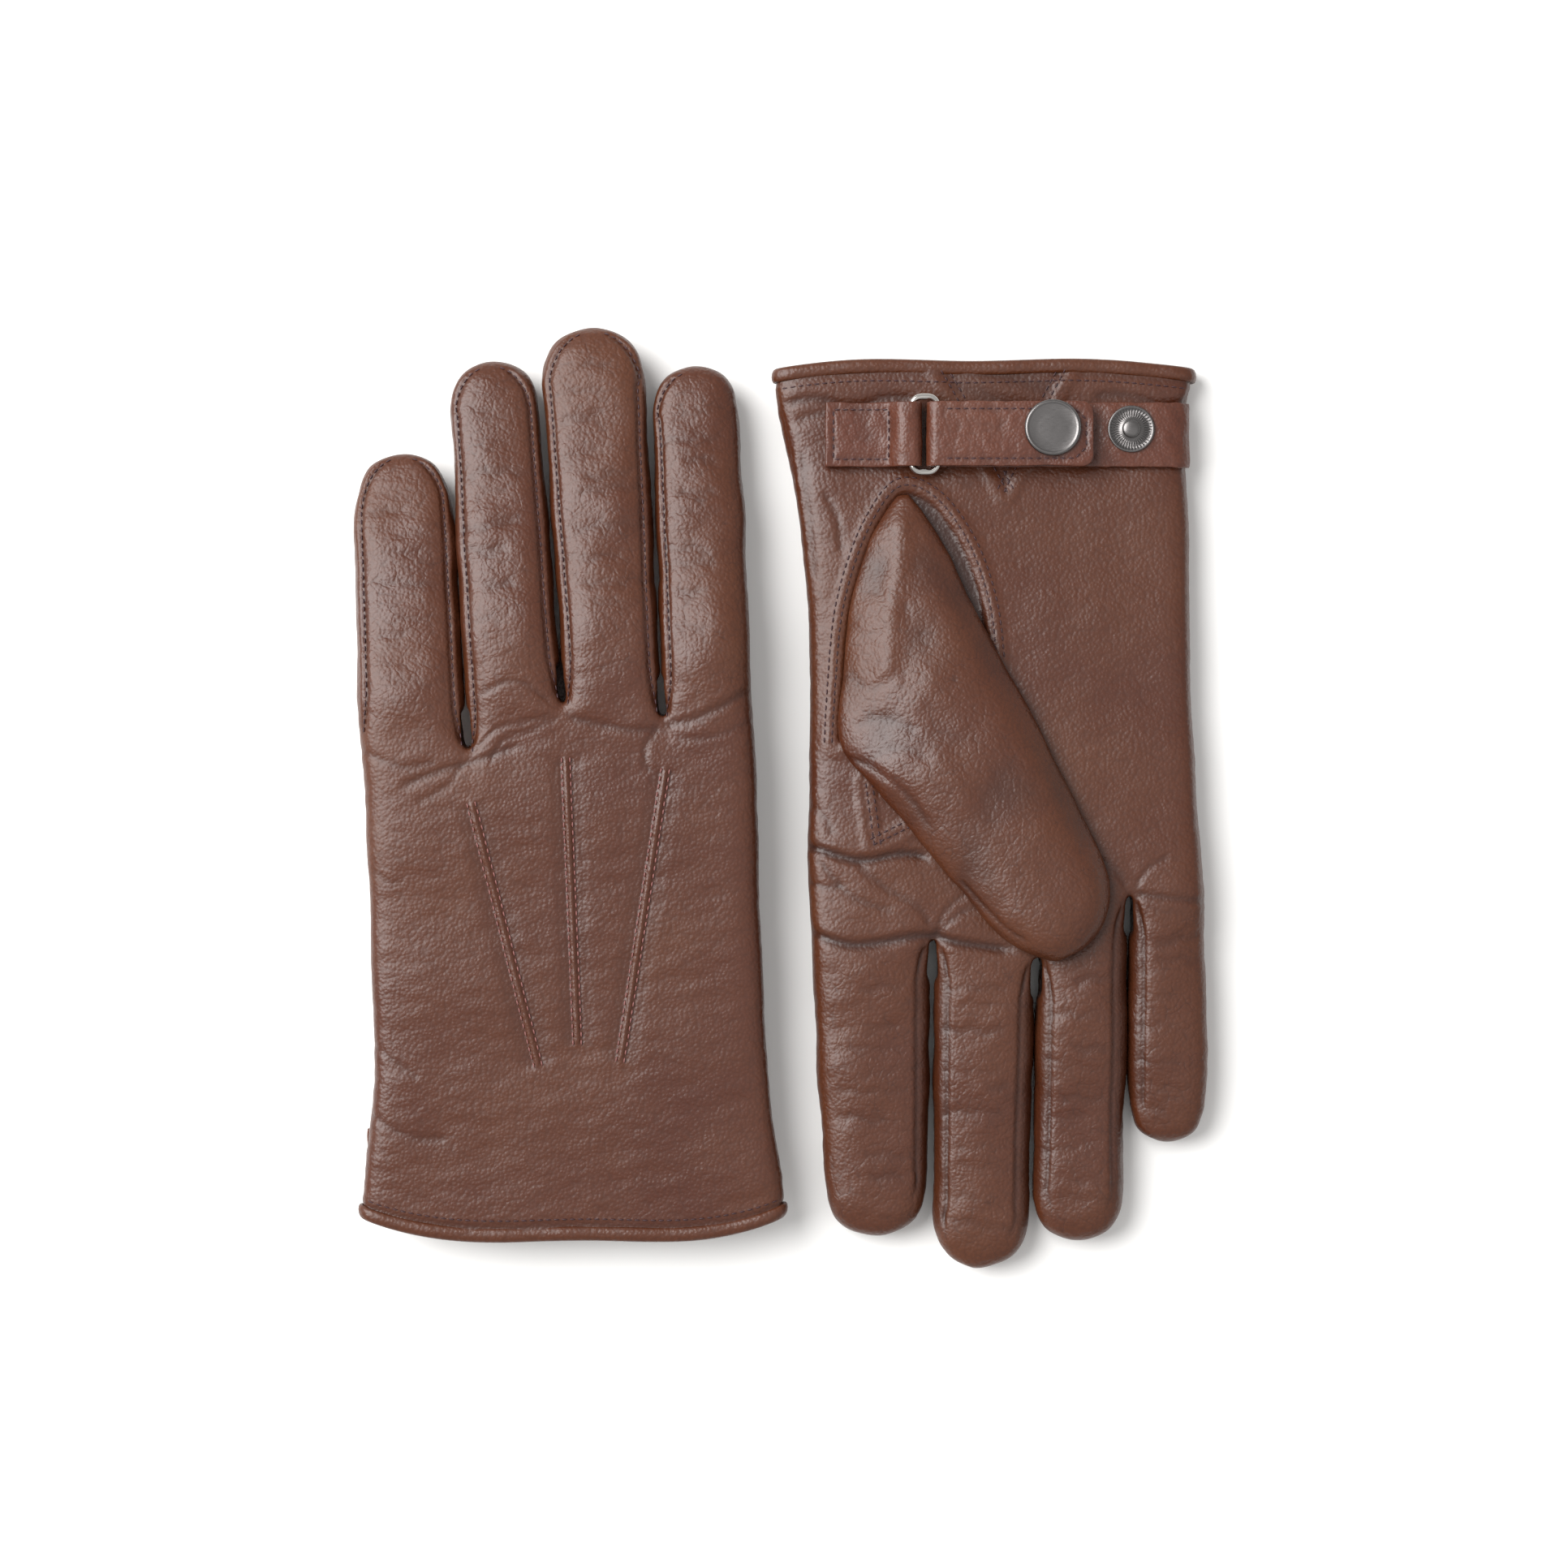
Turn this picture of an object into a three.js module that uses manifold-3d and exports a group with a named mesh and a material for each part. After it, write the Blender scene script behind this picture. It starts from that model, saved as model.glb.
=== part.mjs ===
// A pair of lined leather dress gloves, laid flat side by side. Millimetres, +Z up, origin under the middle of the pair.
// The left glove lies palm down with its fingers towards +Y. The right one lies palm up with its fingers towards -Y.
// Each glove is built palm up in its own frame: x towards the index finger, y from the cuff to the fingertips,
// z from the back of the hand (0) to the palm. The left glove is that frame mirrored in z.
import * as THREE from "three";
import { mergeVertices } from "three/addons/utils/BufferGeometryUtils.js";
import Module from "manifold-3d";

const wasm = await Module();
wasm.setup();

// Driving dimensions of one glove.
const leather = 1.0; // leather wall
const lining = 1.4; // knitted lining wall
const fit = 0.3; // gap between touching pieces
const cuffThick = 10; // glove thickness at the cuff, lying flat
const knuckleThick = 15; // and at the knuckles
const knuckleY = 155; // where knuckleThick is reached
const tipTaper = 3; // how much thinner a finger is at its tip
const tipRise = 0.75; // length of a fingertip's round end, as a share of its width
const tipClear = 1.4; // a drooped fingertip's pad stays this far above the table
const edgeRound = 5.5; // how far the rounded side edges reach in
const hemLength = 4; // rolled hem at the cuff
const seamAllowance = 1; // extra wall where a seam turns in
const mouthSpare = 14; // trimmed off a finger's or thumb's open end
const handSides = [
  // y, middle x, half width
  [-12, 0.3, 58.6],
  [0, 0, 57.2],
  [20, -0.4, 54.2],
  [41, -0.8, 52.6],
  [75, -2, 52.5],
  [110, -3.5, 53],
  [150, -5.3, 53],
  [175, -5.6, 52],
];

// Finger bases: x and y of the base middle, lean in degrees (+ towards the little finger), length, base and tip widths.
const fingersLeft = {
  index: { x: 36.1, y: 155, lean: 2.7, length: 78, base: 22.6, tip: 24.0 },
  middle: { x: 10.2, y: 161, lean: 3.4, length: 83, base: 26.0, tip: 28.4 },
  ring: { x: -16.4, y: 161, lean: 4.6, length: 73.5, base: 24.8, tip: 23.8 },
  little: { x: -42.8, y: 143, lean: 2.9, length: 67, base: 27.6, tip: 25.6 },
};
const fingersRight = {
  index: { x: 30.8, y: 155, lean: 1.6, length: 81, base: 31.4, tip: 28.0 },
  middle: { x: 0.1, y: 161, lean: -1.3, length: 84, base: 26.8, tip: 26.2 },
  ring: { x: -26.3, y: 161, lean: -0.9, length: 76, base: 23.6, tip: 24.2 },
  little: { x: -49.4, y: 143, lean: 0, length: 68, base: 20.0, tip: 20.6 },
};
const fourchetteSides = { index: [-1], middle: [-1, 1], ring: [-1, 1], little: [1] };
const fingerGap = 1.2; // free beside a finger's base
const outerRoom = 12; // and outside the outer two
const fourchetteTop = 5; // height of the side strip
const fourchetteEnd = 14; // it stops this far from the fingertip

// Thumb, laid across the palm.
const thumbThick = 9;
const thumbRootThin = 0.3; // share of thumbThick left at the seam's top
const thumbRootTop = [22.3, 36.5];
const thumbHingeOuter = [40.4, 104.5];
const thumbHingeInner = [-7.7, 85.3];
const thumbTips = { left: [-13.5, 146], right: [-21.5, 148] };
const thumbTipRadius = 11.4;
const thumbHoleInset = 5; // the palm's thumb hole inside the seam
const thumbEdge = 3.5; // rounding of the thumb's edges
const rootEdge = 3; // of the root's
const tunnelEdge = 2; // and of the hollow in the root
const tunnelDepth = 6; // the hollow runs this far through the root's floor
const mouthInset = 3.5; // the root's open end, inside the hinge line's two ends
const mouthReach = 4; // and how far it is cut to each side of the hinge line
const mouthRoof = 0.8; // leather left over it, besides the wall
const thumbRest = 0.6; // the left thumb meets the table this share of its tip radius past the tip's middle

// Wrist strap with its loop and snaps.
const strapWidth = 17.4;
const strapThick = 1.6;
const strapY = 19.3;
const strapStartX = -53.4; // sewn into the side seam
const tailEndX = -28.8;
const tailCorner = 3;
const wire = 1.8; // loop wire
const barPlay = 0.6; // room all round a bar, and beside the strap in the loop
const loopGap = wire + 2 * barPlay; // clear height between the strap's two layers
const loopLength = strapWidth + 2 * (barPlay + wire);
const loopBars = 7; // between the two bars' middles
const loopCorner = 3.6;
const strapBarX = 13;
const foldReach = 1; // the strap's fold runs this far past the bar
const tailJoint = 0.5; // gap between the fold and the tail
const keeperEndX = 43.2;
const keeperThick = 2.4;
const keeperEye = wire / 2 + barPlay; // hole for the bar
const keeperRamp = 7; // it thins out over this length from the bar
const snapY = 17.8;
const nearSnapX = -17.8;
const farSnapX = -39.2;
const capRadius = 7.6;
const capThick = 1.7;
const capBevel = 0.7;
const rimShare = 0.6; // straight part of a cap's or ball's height
const flangeRadius = 6.3;
const flangeThick = 0.6;
const ballRadius = 2.5;
const ballNeck = 0.4; // how much slimmer its neck is
const ballCrown = 0.9; // and its top
const socketRadius = 5.6;
const socketThick = loopGap - flangeThick - 2 * fit;
const ballHeight = socketThick;
const postRadius = 1.3;
const snapFit = 0.4;

// Gussets in the palm's leather.
const ventTop = 18.2; // half width at the cuff
const ventMiddle = -5.3;
const ventPointY = 36.7;
const quirkPoint = [30.5, 130.5];
const quirkTop = [
  [24.5, 117],
  [35.5, 117],
];

// Where the gloves lie.
const leftCuff = [-56.8, -117.2];
const rightCuff = [54.9, 117.8];

const leatherLook = { color: "#734d39", roughness: 0.5 };
const liningLook = { color: "#3f2a22", roughness: 0.95 };
const steelLook = { color: "#6f6d6b", roughness: 0.35, metalness: 1 };
const nickelLook = { color: "#b9b6b2", roughness: 0.2, metalness: 1 };

const barOffset = strapThick + loopGap / 2; // bar middle above the strap's underside
const loopRadius = loopGap / 2 + strapThick;
const wallStack = leather + fit + lining;
const slope = (knuckleThick - cuffThick) / knuckleY;
const palmZ = (y) => cuffThick + slope * y;
const farOut = 400; // past everything
const weld = 1e-3; // vertices closer than this are one
const sharpest = 0.35; // limits how far an inset moves a sharp corner

// A closed geometry as a manifold-3d solid.
function solid(geometry, shared = false) {
  const bare = geometry.clone();
  bare.deleteAttribute("normal");
  bare.deleteAttribute("uv");
  const merged = shared ? bare : mergeVertices(bare, weld);
  return new wasm.Manifold(
    new wasm.Mesh({
      numProp: 3,
      vertProperties: merged.attributes.position.array,
      triVerts: new Uint32Array(merged.index.array),
    }),
  );
}

// A solid as a named three.js mesh.
function part(name, made, look) {
  const mesh = made.getMesh();
  const geometry = new THREE.BufferGeometry();
  geometry.setAttribute("position", new THREE.BufferAttribute(mesh.vertProperties, 3));
  geometry.setIndex(new THREE.BufferAttribute(mesh.triVerts, 1));
  geometry.computeVertexNormals();
  const node = new THREE.Mesh(geometry, new THREE.MeshStandardMaterial(look));
  node.name = name;
  return node;
}

function outline(points) {
  return new THREE.Shape(points.map(([x, y]) => new THREE.Vector2(x, y)));
}

// A plan outline with rounded side edges, inset by inset all round. Its underside is at floorOf(x, y) and its top
// thickOf(x, y) above, both before the inset. Each ring is a share of the height and how far in it sits.
const rounded = [
  [0, 1],
  [0.1, 0.3],
  [0.35, 0],
  [0.65, 0],
  [0.9, 0.3],
  [1, 1],
];
const plain = [
  [0, 0.85],
  [0.35, 0],
  [0.65, 0],
  [1, 0.85],
];

function pillow(points, { inset = 0, rings = rounded, edge = edgeRound, thickOf, floorOf = () => 0 }) {
  const vertices = rings.flatMap(([share, reach]) =>
    shrunk(points, inset + reach * edge).flatMap(([x, y]) => [
      x,
      y,
      floorOf(x, y) + inset + share * (thickOf(x, y) - 2 * inset),
    ]),
  );
  const flat = points.map(([x, y]) => new THREE.Vector2(x, y));
  if (THREE.ShapeUtils.area(flat) < 0) throw new Error("outlines run counter-clockwise");
  const lid = THREE.ShapeUtils.triangulateShape(flat, []);
  const count = points.length;
  const last = (rings.length - 1) * count;
  const triangles = lid.flatMap(([i, j, k]) => [k, j, i, last + i, last + j, last + k]);
  for (let ring = 0; ring < last; ring += count) {
    for (let i = 0; i < count; i++) {
      const [here, next] = [ring + i, ring + ((i + 1) % count)];
      triangles.push(here, next, next + count, here, next + count, here + count);
    }
  }
  const geometry = new THREE.BufferGeometry();
  geometry.setAttribute("position", new THREE.Float32BufferAttribute(vertices, 3));
  return solid(geometry.setIndex(triangles), true);
}

// Points along an arc of an ellipse round (x, y), both ends included.
function arc(x, y, radiusX, radiusY, from, to, steps) {
  return Array.from({ length: steps + 1 }, (_, i) => {
    const angle = from + ((to - from) * i) / steps;
    return [x + radiusX * Math.cos(angle), y + radiusY * Math.sin(angle)];
  });
}

// A plan outline made into a straight block from low to high.
function prism(points, low, high) {
  const geometry = new THREE.ExtrudeGeometry(outline(points), { depth: high - low, bevelEnabled: false });
  return solid(geometry.translate(0, 0, low));
}

function box([x0, y0, z0], [x1, y1, z1]) {
  const geometry = new THREE.BoxGeometry(x1 - x0, y1 - y0, z1 - z0);
  return solid(geometry.translate((x0 + x1) / 2, (y0 + y1) / 2, (z0 + z1) / 2));
}

function turned(profile, x, y, z, sides = 20) {
  const points = profile.map(([r, h]) => new THREE.Vector2(r, h));
  const geometry = new THREE.LatheGeometry(points, sides).rotateX(Math.PI / 2);
  return solid(geometry.translate(x, y, z));
}

// A profile in x and z run along y between y0 and y1.
function alongY(shape, y0, y1, arcs = 8) {
  const geometry = new THREE.ExtrudeGeometry(shape, { depth: y1 - y0, bevelEnabled: false, curveSegments: arcs });
  return solid(geometry.rotateX(Math.PI / 2).translate(0, y1, 0));
}

function keepAbove(made, y) {
  return made.trimByPlane([0, 1, 0], y);
}

function keepBelow(made, y) {
  return made.trimByPlane([0, -1, 0], -y);
}

// A polygon's points moved towards (or, with a negative amount, away from) its middle side by side.
function shrunk(points, amount) {
  const flat = points.map(([x, y]) => new THREE.Vector2(x, y));
  const inward = THREE.ShapeUtils.area(flat) > 0 ? 1 : -1;
  return flat.map((point, i) => {
    const before = flat[(i + flat.length - 1) % flat.length];
    const after = flat[(i + 1) % flat.length];
    const a = point.clone().sub(before).normalize();
    const b = after.clone().sub(point).normalize();
    const normal = new THREE.Vector2(-a.y - b.y, a.x + b.x).normalize();
    const cosine = Math.max(sharpest, normal.dot(new THREE.Vector2(-a.y, a.x)));
    const moved = point.clone().addScaledVector(normal, (inward * amount) / cosine);
    return [moved.x, moved.y];
  });
}

// ---- hand ----

const handOutline = [
  ...handSides.map(([y, middle, half]) => [middle + half, y]),
  ...handSides.map(([y, middle, half]) => [middle - half, y]).reverse(),
];

function handPillow(inset, rings) {
  return pillow(handOutline, { inset, rings, thickOf: (x, y) => palmZ(y) });
}

// The room in front of each finger's base, which the hand leaves free.
function fingerRoom(fingers) {
  const list = Object.values(fingers);
  return list
    .map(({ x, y, lean, base }, i) => {
      const littleSide = -base / 2 - (i === list.length - 1 ? outerRoom : fingerGap);
      const indexSide = base / 2 + (i === 0 ? outerRoom : fingerGap);
      const geometry = new THREE.BoxGeometry(indexSide - littleSide, farOut, farOut);
      geometry.translate((littleSide + indexSide) / 2, farOut / 2 - fit, 0).rotateZ((lean * Math.PI) / 180);
      return solid(geometry.translate(x, y, 0));
    })
    .reduce((all, next) => all.add(next));
}

const thumbRootOutline = [
  thumbRootTop,
  [32.5, 50.5],
  [37.1, 67.1],
  [39, 86.9],
  thumbHingeOuter,
  thumbHingeInner,
  [-0.9, 72],
  [10.7, 49.5],
];

const ventOutline = [
  [ventMiddle + ventTop, 0],
  [ventMiddle, ventPointY],
  [ventMiddle - ventTop, 0],
];
const quirkOutline = [quirkTop[0], quirkTop[1], quirkPoint];

function makeHand(side, fingers) {
  const [outer, inner, liningOuter, liningInner] = [
    handPillow(0, rounded),
    handPillow(leather, rounded),
    handPillow(leather + fit, plain),
    handPillow(wallStack, plain),
  ];
  const room = fingerRoom(fingers);
  const wall = outer.subtract(inner);
  const middleZ = cuffThick / 2;
  const insert = (points, amount) => prism(shrunk(points, amount), middleZ, farOut);
  const thumbHole = insert(thumbRootOutline, thumbHoleInset);
  const body = keepAbove(wall, hemLength).subtract(room);
  const vent = keepAbove(wall.intersect(insert(ventOutline, fit)), hemLength);
  const quirk = wall.intersect(insert(quirkOutline, fit));
  const trank = body.subtract(thumbHole).subtract(insert(ventOutline, 0)).subtract(insert(quirkOutline, 0));
  const liningWall = liningOuter.subtract(liningInner).subtract(room).subtract(thumbHole);
  const hem = keepBelow(keepAbove(outer.subtract(liningInner), 0), hemLength - fit);
  return [
    part(`${side}_trank`, trank, leatherLook),
    part(`${side}_hand_lining`, keepAbove(liningWall, hemLength), liningLook),
    part(`${side}_cuff_binding`, hem, leatherLook),
    part(`${side}_vent_gusset`, vent, leatherLook),
    part(`${side}_thumb_quirk`, quirk, leatherLook),
  ];
}

// ---- fingers ----

function fingerOutline({ length, base, tip }) {
  const rise = tip * tipRise;
  const open = [[-base / 2, -mouthSpare], [base / 2, -mouthSpare]];
  return [...open, ...arc(0, length - rise, tip / 2, rise, 0, Math.PI, 6)];
}

// A finger in its own frame: the hinge line is the palm side's edge at the base, along x through the origin.
function makeFinger(side, name, finger, droop) {
  const back = -palmZ(finger.y);
  const options = {
    thickOf: (x, y) => -back - (tipTaper * Math.max(y, 0)) / finger.length,
    floorOf: () => back,
  };
  const at = (inset, rings) => pillow(fingerOutline(finger), { ...options, inset, rings });
  // The open end stays square to the hand, so a drooping finger leaves no wedge on the back.
  const mouth = [0, Math.cos(droop), -Math.sin(droop)];
  const wall = at(0, rounded).subtract(at(leather, rounded)).trimByPlane(mouth, 0);
  const liningWall = at(leather + fit, plain).subtract(at(wallStack, plain)).trimByPlane(mouth, 0);
  const strip = (way, grow) => {
    const middle = back + (palmZ(finger.y) - tipTaper / 2) / 2;
    const inner = Math.min(finger.base, finger.tip) / 2 - leather - seamAllowance;
    const reach = [way * inner, way * farOut].sort((a, b) => a - b);
    return box(
      [reach[0], -mouthSpare, middle - fourchetteTop / 2 - grow],
      [reach[1], finger.length - fourchetteEnd + grow, middle + fourchetteTop / 2 + grow],
    );
  };
  const ways = fourchetteSides[name];
  const shell = ways.reduce((made, way) => made.subtract(strip(way, fit)), wall);
  const group = new THREE.Group();
  group.add(part(`${side}_${name}_finger`, shell, leatherLook));
  group.add(part(`${side}_${name}_lining`, liningWall, liningLook));
  ways.forEach((way) => {
    const edge = way > 0 ? "index_side" : "little_side";
    group.add(part(`${side}_${name}_fourchette_${edge}`, wall.intersect(strip(way, 0)), leatherLook));
  });
  group.position.set(finger.x, finger.y, -back);
  group.rotation.set(droop, 0, (finger.lean * Math.PI) / 180, "ZXY");
  group.name = `${side}_${name}`;
  return group;
}

// ---- thumb ----

const thumbAcross = new THREE.Vector2(
  thumbHingeOuter[0] - thumbHingeInner[0],
  thumbHingeOuter[1] - thumbHingeInner[1],
).normalize();
const thumbAlong = new THREE.Vector2(-thumbAcross.y, thumbAcross.x);
const hingeDistance = (x, y) =>
  new THREE.Vector2(x - thumbHingeInner[0], y - thumbHingeInner[1]).dot(thumbAlong);

function thumbOutline(side) {
  const start = Math.atan2(thumbAcross.y, thumbAcross.x);
  const behind = ([x, y]) => [x - mouthSpare * thumbAlong.x, y - mouthSpare * thumbAlong.y];
  const [x, y] = thumbTips[side];
  return [
    behind(thumbHingeInner),
    behind(thumbHingeOuter),
    thumbHingeOuter,
    ...arc(x, y, thumbTipRadius, thumbTipRadius, start, start + Math.PI, 8),
    thumbHingeInner,
  ];
}

function makeThumb(side) {
  const options = { edge: thumbEdge, thickOf: () => thumbThick, floorOf: (x, y) => palmZ(y) + fit };
  const at = (inset, rings) => pillow(thumbOutline(side), { ...options, inset, rings });
  const normal = [thumbAlong.x, thumbAlong.y, 0];
  const start = new THREE.Vector2(...thumbHingeInner).dot(thumbAlong);
  const shell = at(0, rounded).subtract(at(leather, rounded)).trimByPlane(normal, start + fit);
  const liningWall = at(leather + fit, plain).subtract(at(wallStack, plain)).trimByPlane(normal, start + fit);
  return [
    part(`${side}_thumb`, shell, leatherLook),
    part(`${side}_thumb_lining`, liningWall, liningLook),
  ];
}

function makeThumbRoot(side) {
  const seamLength = -hingeDistance(...thumbRootTop);
  const thickOf = (x, y) => {
    const share = 1 + hingeDistance(x, y) / seamLength;
    return thumbThick * Math.min(1, thumbRootThin + (1 - thumbRootThin) * share);
  };
  const block = pillow(thumbRootOutline, {
    edge: rootEdge,
    thickOf,
    floorOf: (x, y) => palmZ(y) + fit,
  });
  const tunnel = pillow(shrunk(thumbRootOutline, leather + seamAllowance), {
    edge: tunnelEdge,
    thickOf: (x, y) => thickOf(x, y) + tunnelDepth - leather,
    floorOf: (x, y) => palmZ(y) + fit - tunnelDepth,
  });
  const [across, along] = [thumbAcross, thumbAlong];
  const corner = (point, a, b) => [point[0] + across.x * a + along.x * b, point[1] + across.y * a + along.y * b];
  const mouth = prism(
    [
      corner(thumbHingeInner, mouthInset, -mouthReach),
      corner(thumbHingeOuter, -mouthInset, -mouthReach),
      corner(thumbHingeOuter, -mouthInset, mouthReach),
      corner(thumbHingeInner, mouthInset, mouthReach),
    ],
    0,
    palmZ(thumbHingeInner[1]) + fit + thumbThick - leather - mouthRoof,
  );
  const start = new THREE.Vector2(...thumbHingeInner).dot(along);
  const root = block.subtract(tunnel).subtract(mouth).trimByPlane([-along.x, -along.y, 0], -start);
  return part(`${side}_thumb_root`, root, leatherLook);
}

// ---- strap, loop and snaps ----

const strapFloor = palmZ(strapY + strapWidth / 2) + fit;
const barZ = strapFloor + barOffset;
const tailFloor = strapFloor + strapThick + loopGap;
const [strapLow, strapHigh] = [strapY - strapWidth / 2, strapY + strapWidth / 2];

function makeStrapBase(side) {
  const foldEnd = strapBarX - foldReach;
  const shape = new THREE.Shape();
  shape.moveTo(strapStartX, strapFloor);
  shape.lineTo(strapBarX, strapFloor);
  shape.absarc(strapBarX, barZ, loopRadius, -Math.PI / 2, Math.PI / 2, false);
  shape.lineTo(foldEnd, barZ + loopRadius);
  shape.lineTo(foldEnd, barZ + loopGap / 2);
  shape.absarc(strapBarX, barZ, loopGap / 2, Math.PI / 2, -Math.PI / 2, true);
  shape.lineTo(strapStartX, strapFloor + strapThick);
  return part(`${side}_strap`, alongY(shape, strapLow, strapHigh), leatherLook);
}

function makeKeeper(side) {
  const barX = strapBarX + loopBars;
  const shape = new THREE.Shape();
  shape.moveTo(keeperEndX, strapFloor);
  shape.lineTo(keeperEndX, strapFloor + keeperThick);
  shape.lineTo(barX + keeperRamp, strapFloor + keeperThick);
  shape.lineTo(barX, barZ + loopRadius);
  shape.absarc(barX, barZ, loopRadius, Math.PI / 2, (3 * Math.PI) / 2, false);
  const eye = new THREE.Path();
  eye.absarc(barX, barZ, keeperEye, 0, 2 * Math.PI, true);
  shape.holes.push(eye);
  return part(`${side}_strap_keeper`, alongY(shape, strapLow, strapHigh), leatherLook);
}

function makeLoop(side) {
  const [halfX, halfY] = [(loopBars + wire) / 2, loopLength / 2];
  const corners = (inset) => {
    const radius = loopCorner - inset;
    const [x, y] = [halfX - loopCorner, halfY - loopCorner];
    return [
      ...arc(x, y, radius, radius, 0, Math.PI / 2, 4),
      ...arc(-x, y, radius, radius, Math.PI / 2, Math.PI, 4),
      ...arc(-x, -y, radius, radius, Math.PI, 1.5 * Math.PI, 4),
      ...arc(x, -y, radius, radius, 1.5 * Math.PI, 2 * Math.PI, 4),
    ];
  };
  const shape = outline(corners(0));
  shape.holes.push(outline(corners(wire).reverse()));
  const chamfer = wire / 4;
  const geometry = new THREE.ExtrudeGeometry(shape, {
    depth: wire - 2 * chamfer,
    bevelThickness: chamfer,
    bevelSize: chamfer,
    bevelOffset: -chamfer,
    bevelSegments: 1,
  });
  geometry.translate(strapBarX + loopBars / 2, strapY, barZ - wire / 2 + chamfer);
  return part(`${side}_strap_loop`, solid(geometry), nickelLook);
}

function makeStud(side, name, x) {
  const floor = strapFloor + strapThick + fit / 2;
  const profile = [
    [0, 0],
    [flangeRadius, 0],
    [flangeRadius, flangeThick],
    [ballRadius - ballNeck, flangeThick],
    [ballRadius, flangeThick + ballHeight * rimShare],
    [ballRadius - ballCrown, flangeThick + ballHeight],
    [0, flangeThick + ballHeight],
  ];
  return part(`${side}_${name}`, turned(profile, x, snapY, floor), steelLook);
}

function makeTail(side) {
  const start = strapBarX - foldReach - tailJoint;
  const shape = new THREE.Shape();
  shape.moveTo(start, strapLow);
  shape.lineTo(start, strapHigh);
  shape.lineTo(tailEndX + tailCorner, strapHigh);
  shape.absarc(tailEndX + tailCorner, strapHigh - tailCorner, tailCorner, Math.PI / 2, Math.PI, false);
  shape.absarc(tailEndX + tailCorner, strapLow + tailCorner, tailCorner, Math.PI, 1.5 * Math.PI, false);
  const hole = new THREE.Path();
  hole.absarc(nearSnapX, snapY, postRadius + snapFit, 0, 2 * Math.PI, true);
  shape.holes.push(hole);
  const tail = new THREE.ExtrudeGeometry(shape, { depth: strapThick, bevelEnabled: false, curveSegments: 5 });
  const top = tailFloor + strapThick;
  const cap = [
    [0, -strapThick],
    [postRadius, -strapThick],
    [postRadius, fit],
    [capRadius, fit],
    [capRadius, fit + capThick * rimShare],
    [capRadius - capBevel, fit + capThick],
    [0, fit + capThick],
  ];
  const socketInner = ballRadius + snapFit;
  const socketTop = -fit / 2;
  const socket = [
    [socketInner, socketTop - socketThick],
    [socketRadius, socketTop - socketThick],
    [socketRadius, socketTop],
    [socketInner, socketTop],
    [socketInner, socketTop - socketThick],
  ];
  return [
    part(`${side}_strap_tail`, solid(tail.translate(0, 0, tailFloor)), leatherLook),
    part(`${side}_snap_cap`, turned(cap, nearSnapX, snapY, top), steelLook),
    part(`${side}_snap_socket`, turned(socket, nearSnapX, snapY, tailFloor), steelLook),
  ];
}

// ---- one glove, palm up ----

function makeGlove(side, fingers, droopOf) {
  const glove = new THREE.Group();
  glove.add(...makeHand(side, fingers));
  Object.entries(fingers).forEach(([name, finger]) => {
    glove.add(makeFinger(side, name, finger, droopOf(finger)));
  });
  glove.add(...makeThumb(side), makeThumbRoot(side));
  glove.add(makeStrapBase(side), makeKeeper(side), makeLoop(side), ...makeTail(side));
  glove.add(makeStud(side, "snap_stud", nearSnapX), makeStud(side, "spare_stud", farSnapX));
  return glove;
}

// The left glove lies on its thumb and its snap cap, so it is pitched until both touch the table.
const thumbTop = (y) => palmZ(y) + fit + thumbThick;
const thumbEndY = thumbTips.left[1] + thumbTipRadius * thumbRest;
const capTop = tailFloor + strapThick + fit + capThick;
const pitch = Math.atan2(thumbTop(thumbEndY) - capTop, thumbEndY - snapY);
const restHeight = thumbTop(thumbEndY) * Math.cos(pitch) - thumbEndY * Math.sin(pitch);
const heightAt = (y) => restHeight - (palmZ(y) * Math.cos(pitch) - y * Math.sin(pitch));
const leftDroop = ({ y, length }) => pitch + Math.asin((heightAt(y) + tipTaper - tipClear) / length);

const pair = new THREE.Group();

const leftMirror = new THREE.Group();
leftMirror.position.set(leftCuff[0], leftCuff[1], restHeight);
leftMirror.scale.z = -1;
const left = makeGlove("left", fingersLeft, leftDroop);
left.rotation.x = -pitch;
left.name = "left_hand";
leftMirror.add(left);
pair.add(leftMirror);

const right = makeGlove("right", fingersRight, () => 0);
right.position.set(rightCuff[0], rightCuff[1], 0);
right.rotation.z = Math.PI;
right.name = "right_hand";
pair.add(right);

export default pair;
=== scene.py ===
import math

import bmesh
import bpy
import numpy as np
from mathutils import Matrix, Vector
from mathutils.bvhtree import BVHTree


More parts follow.
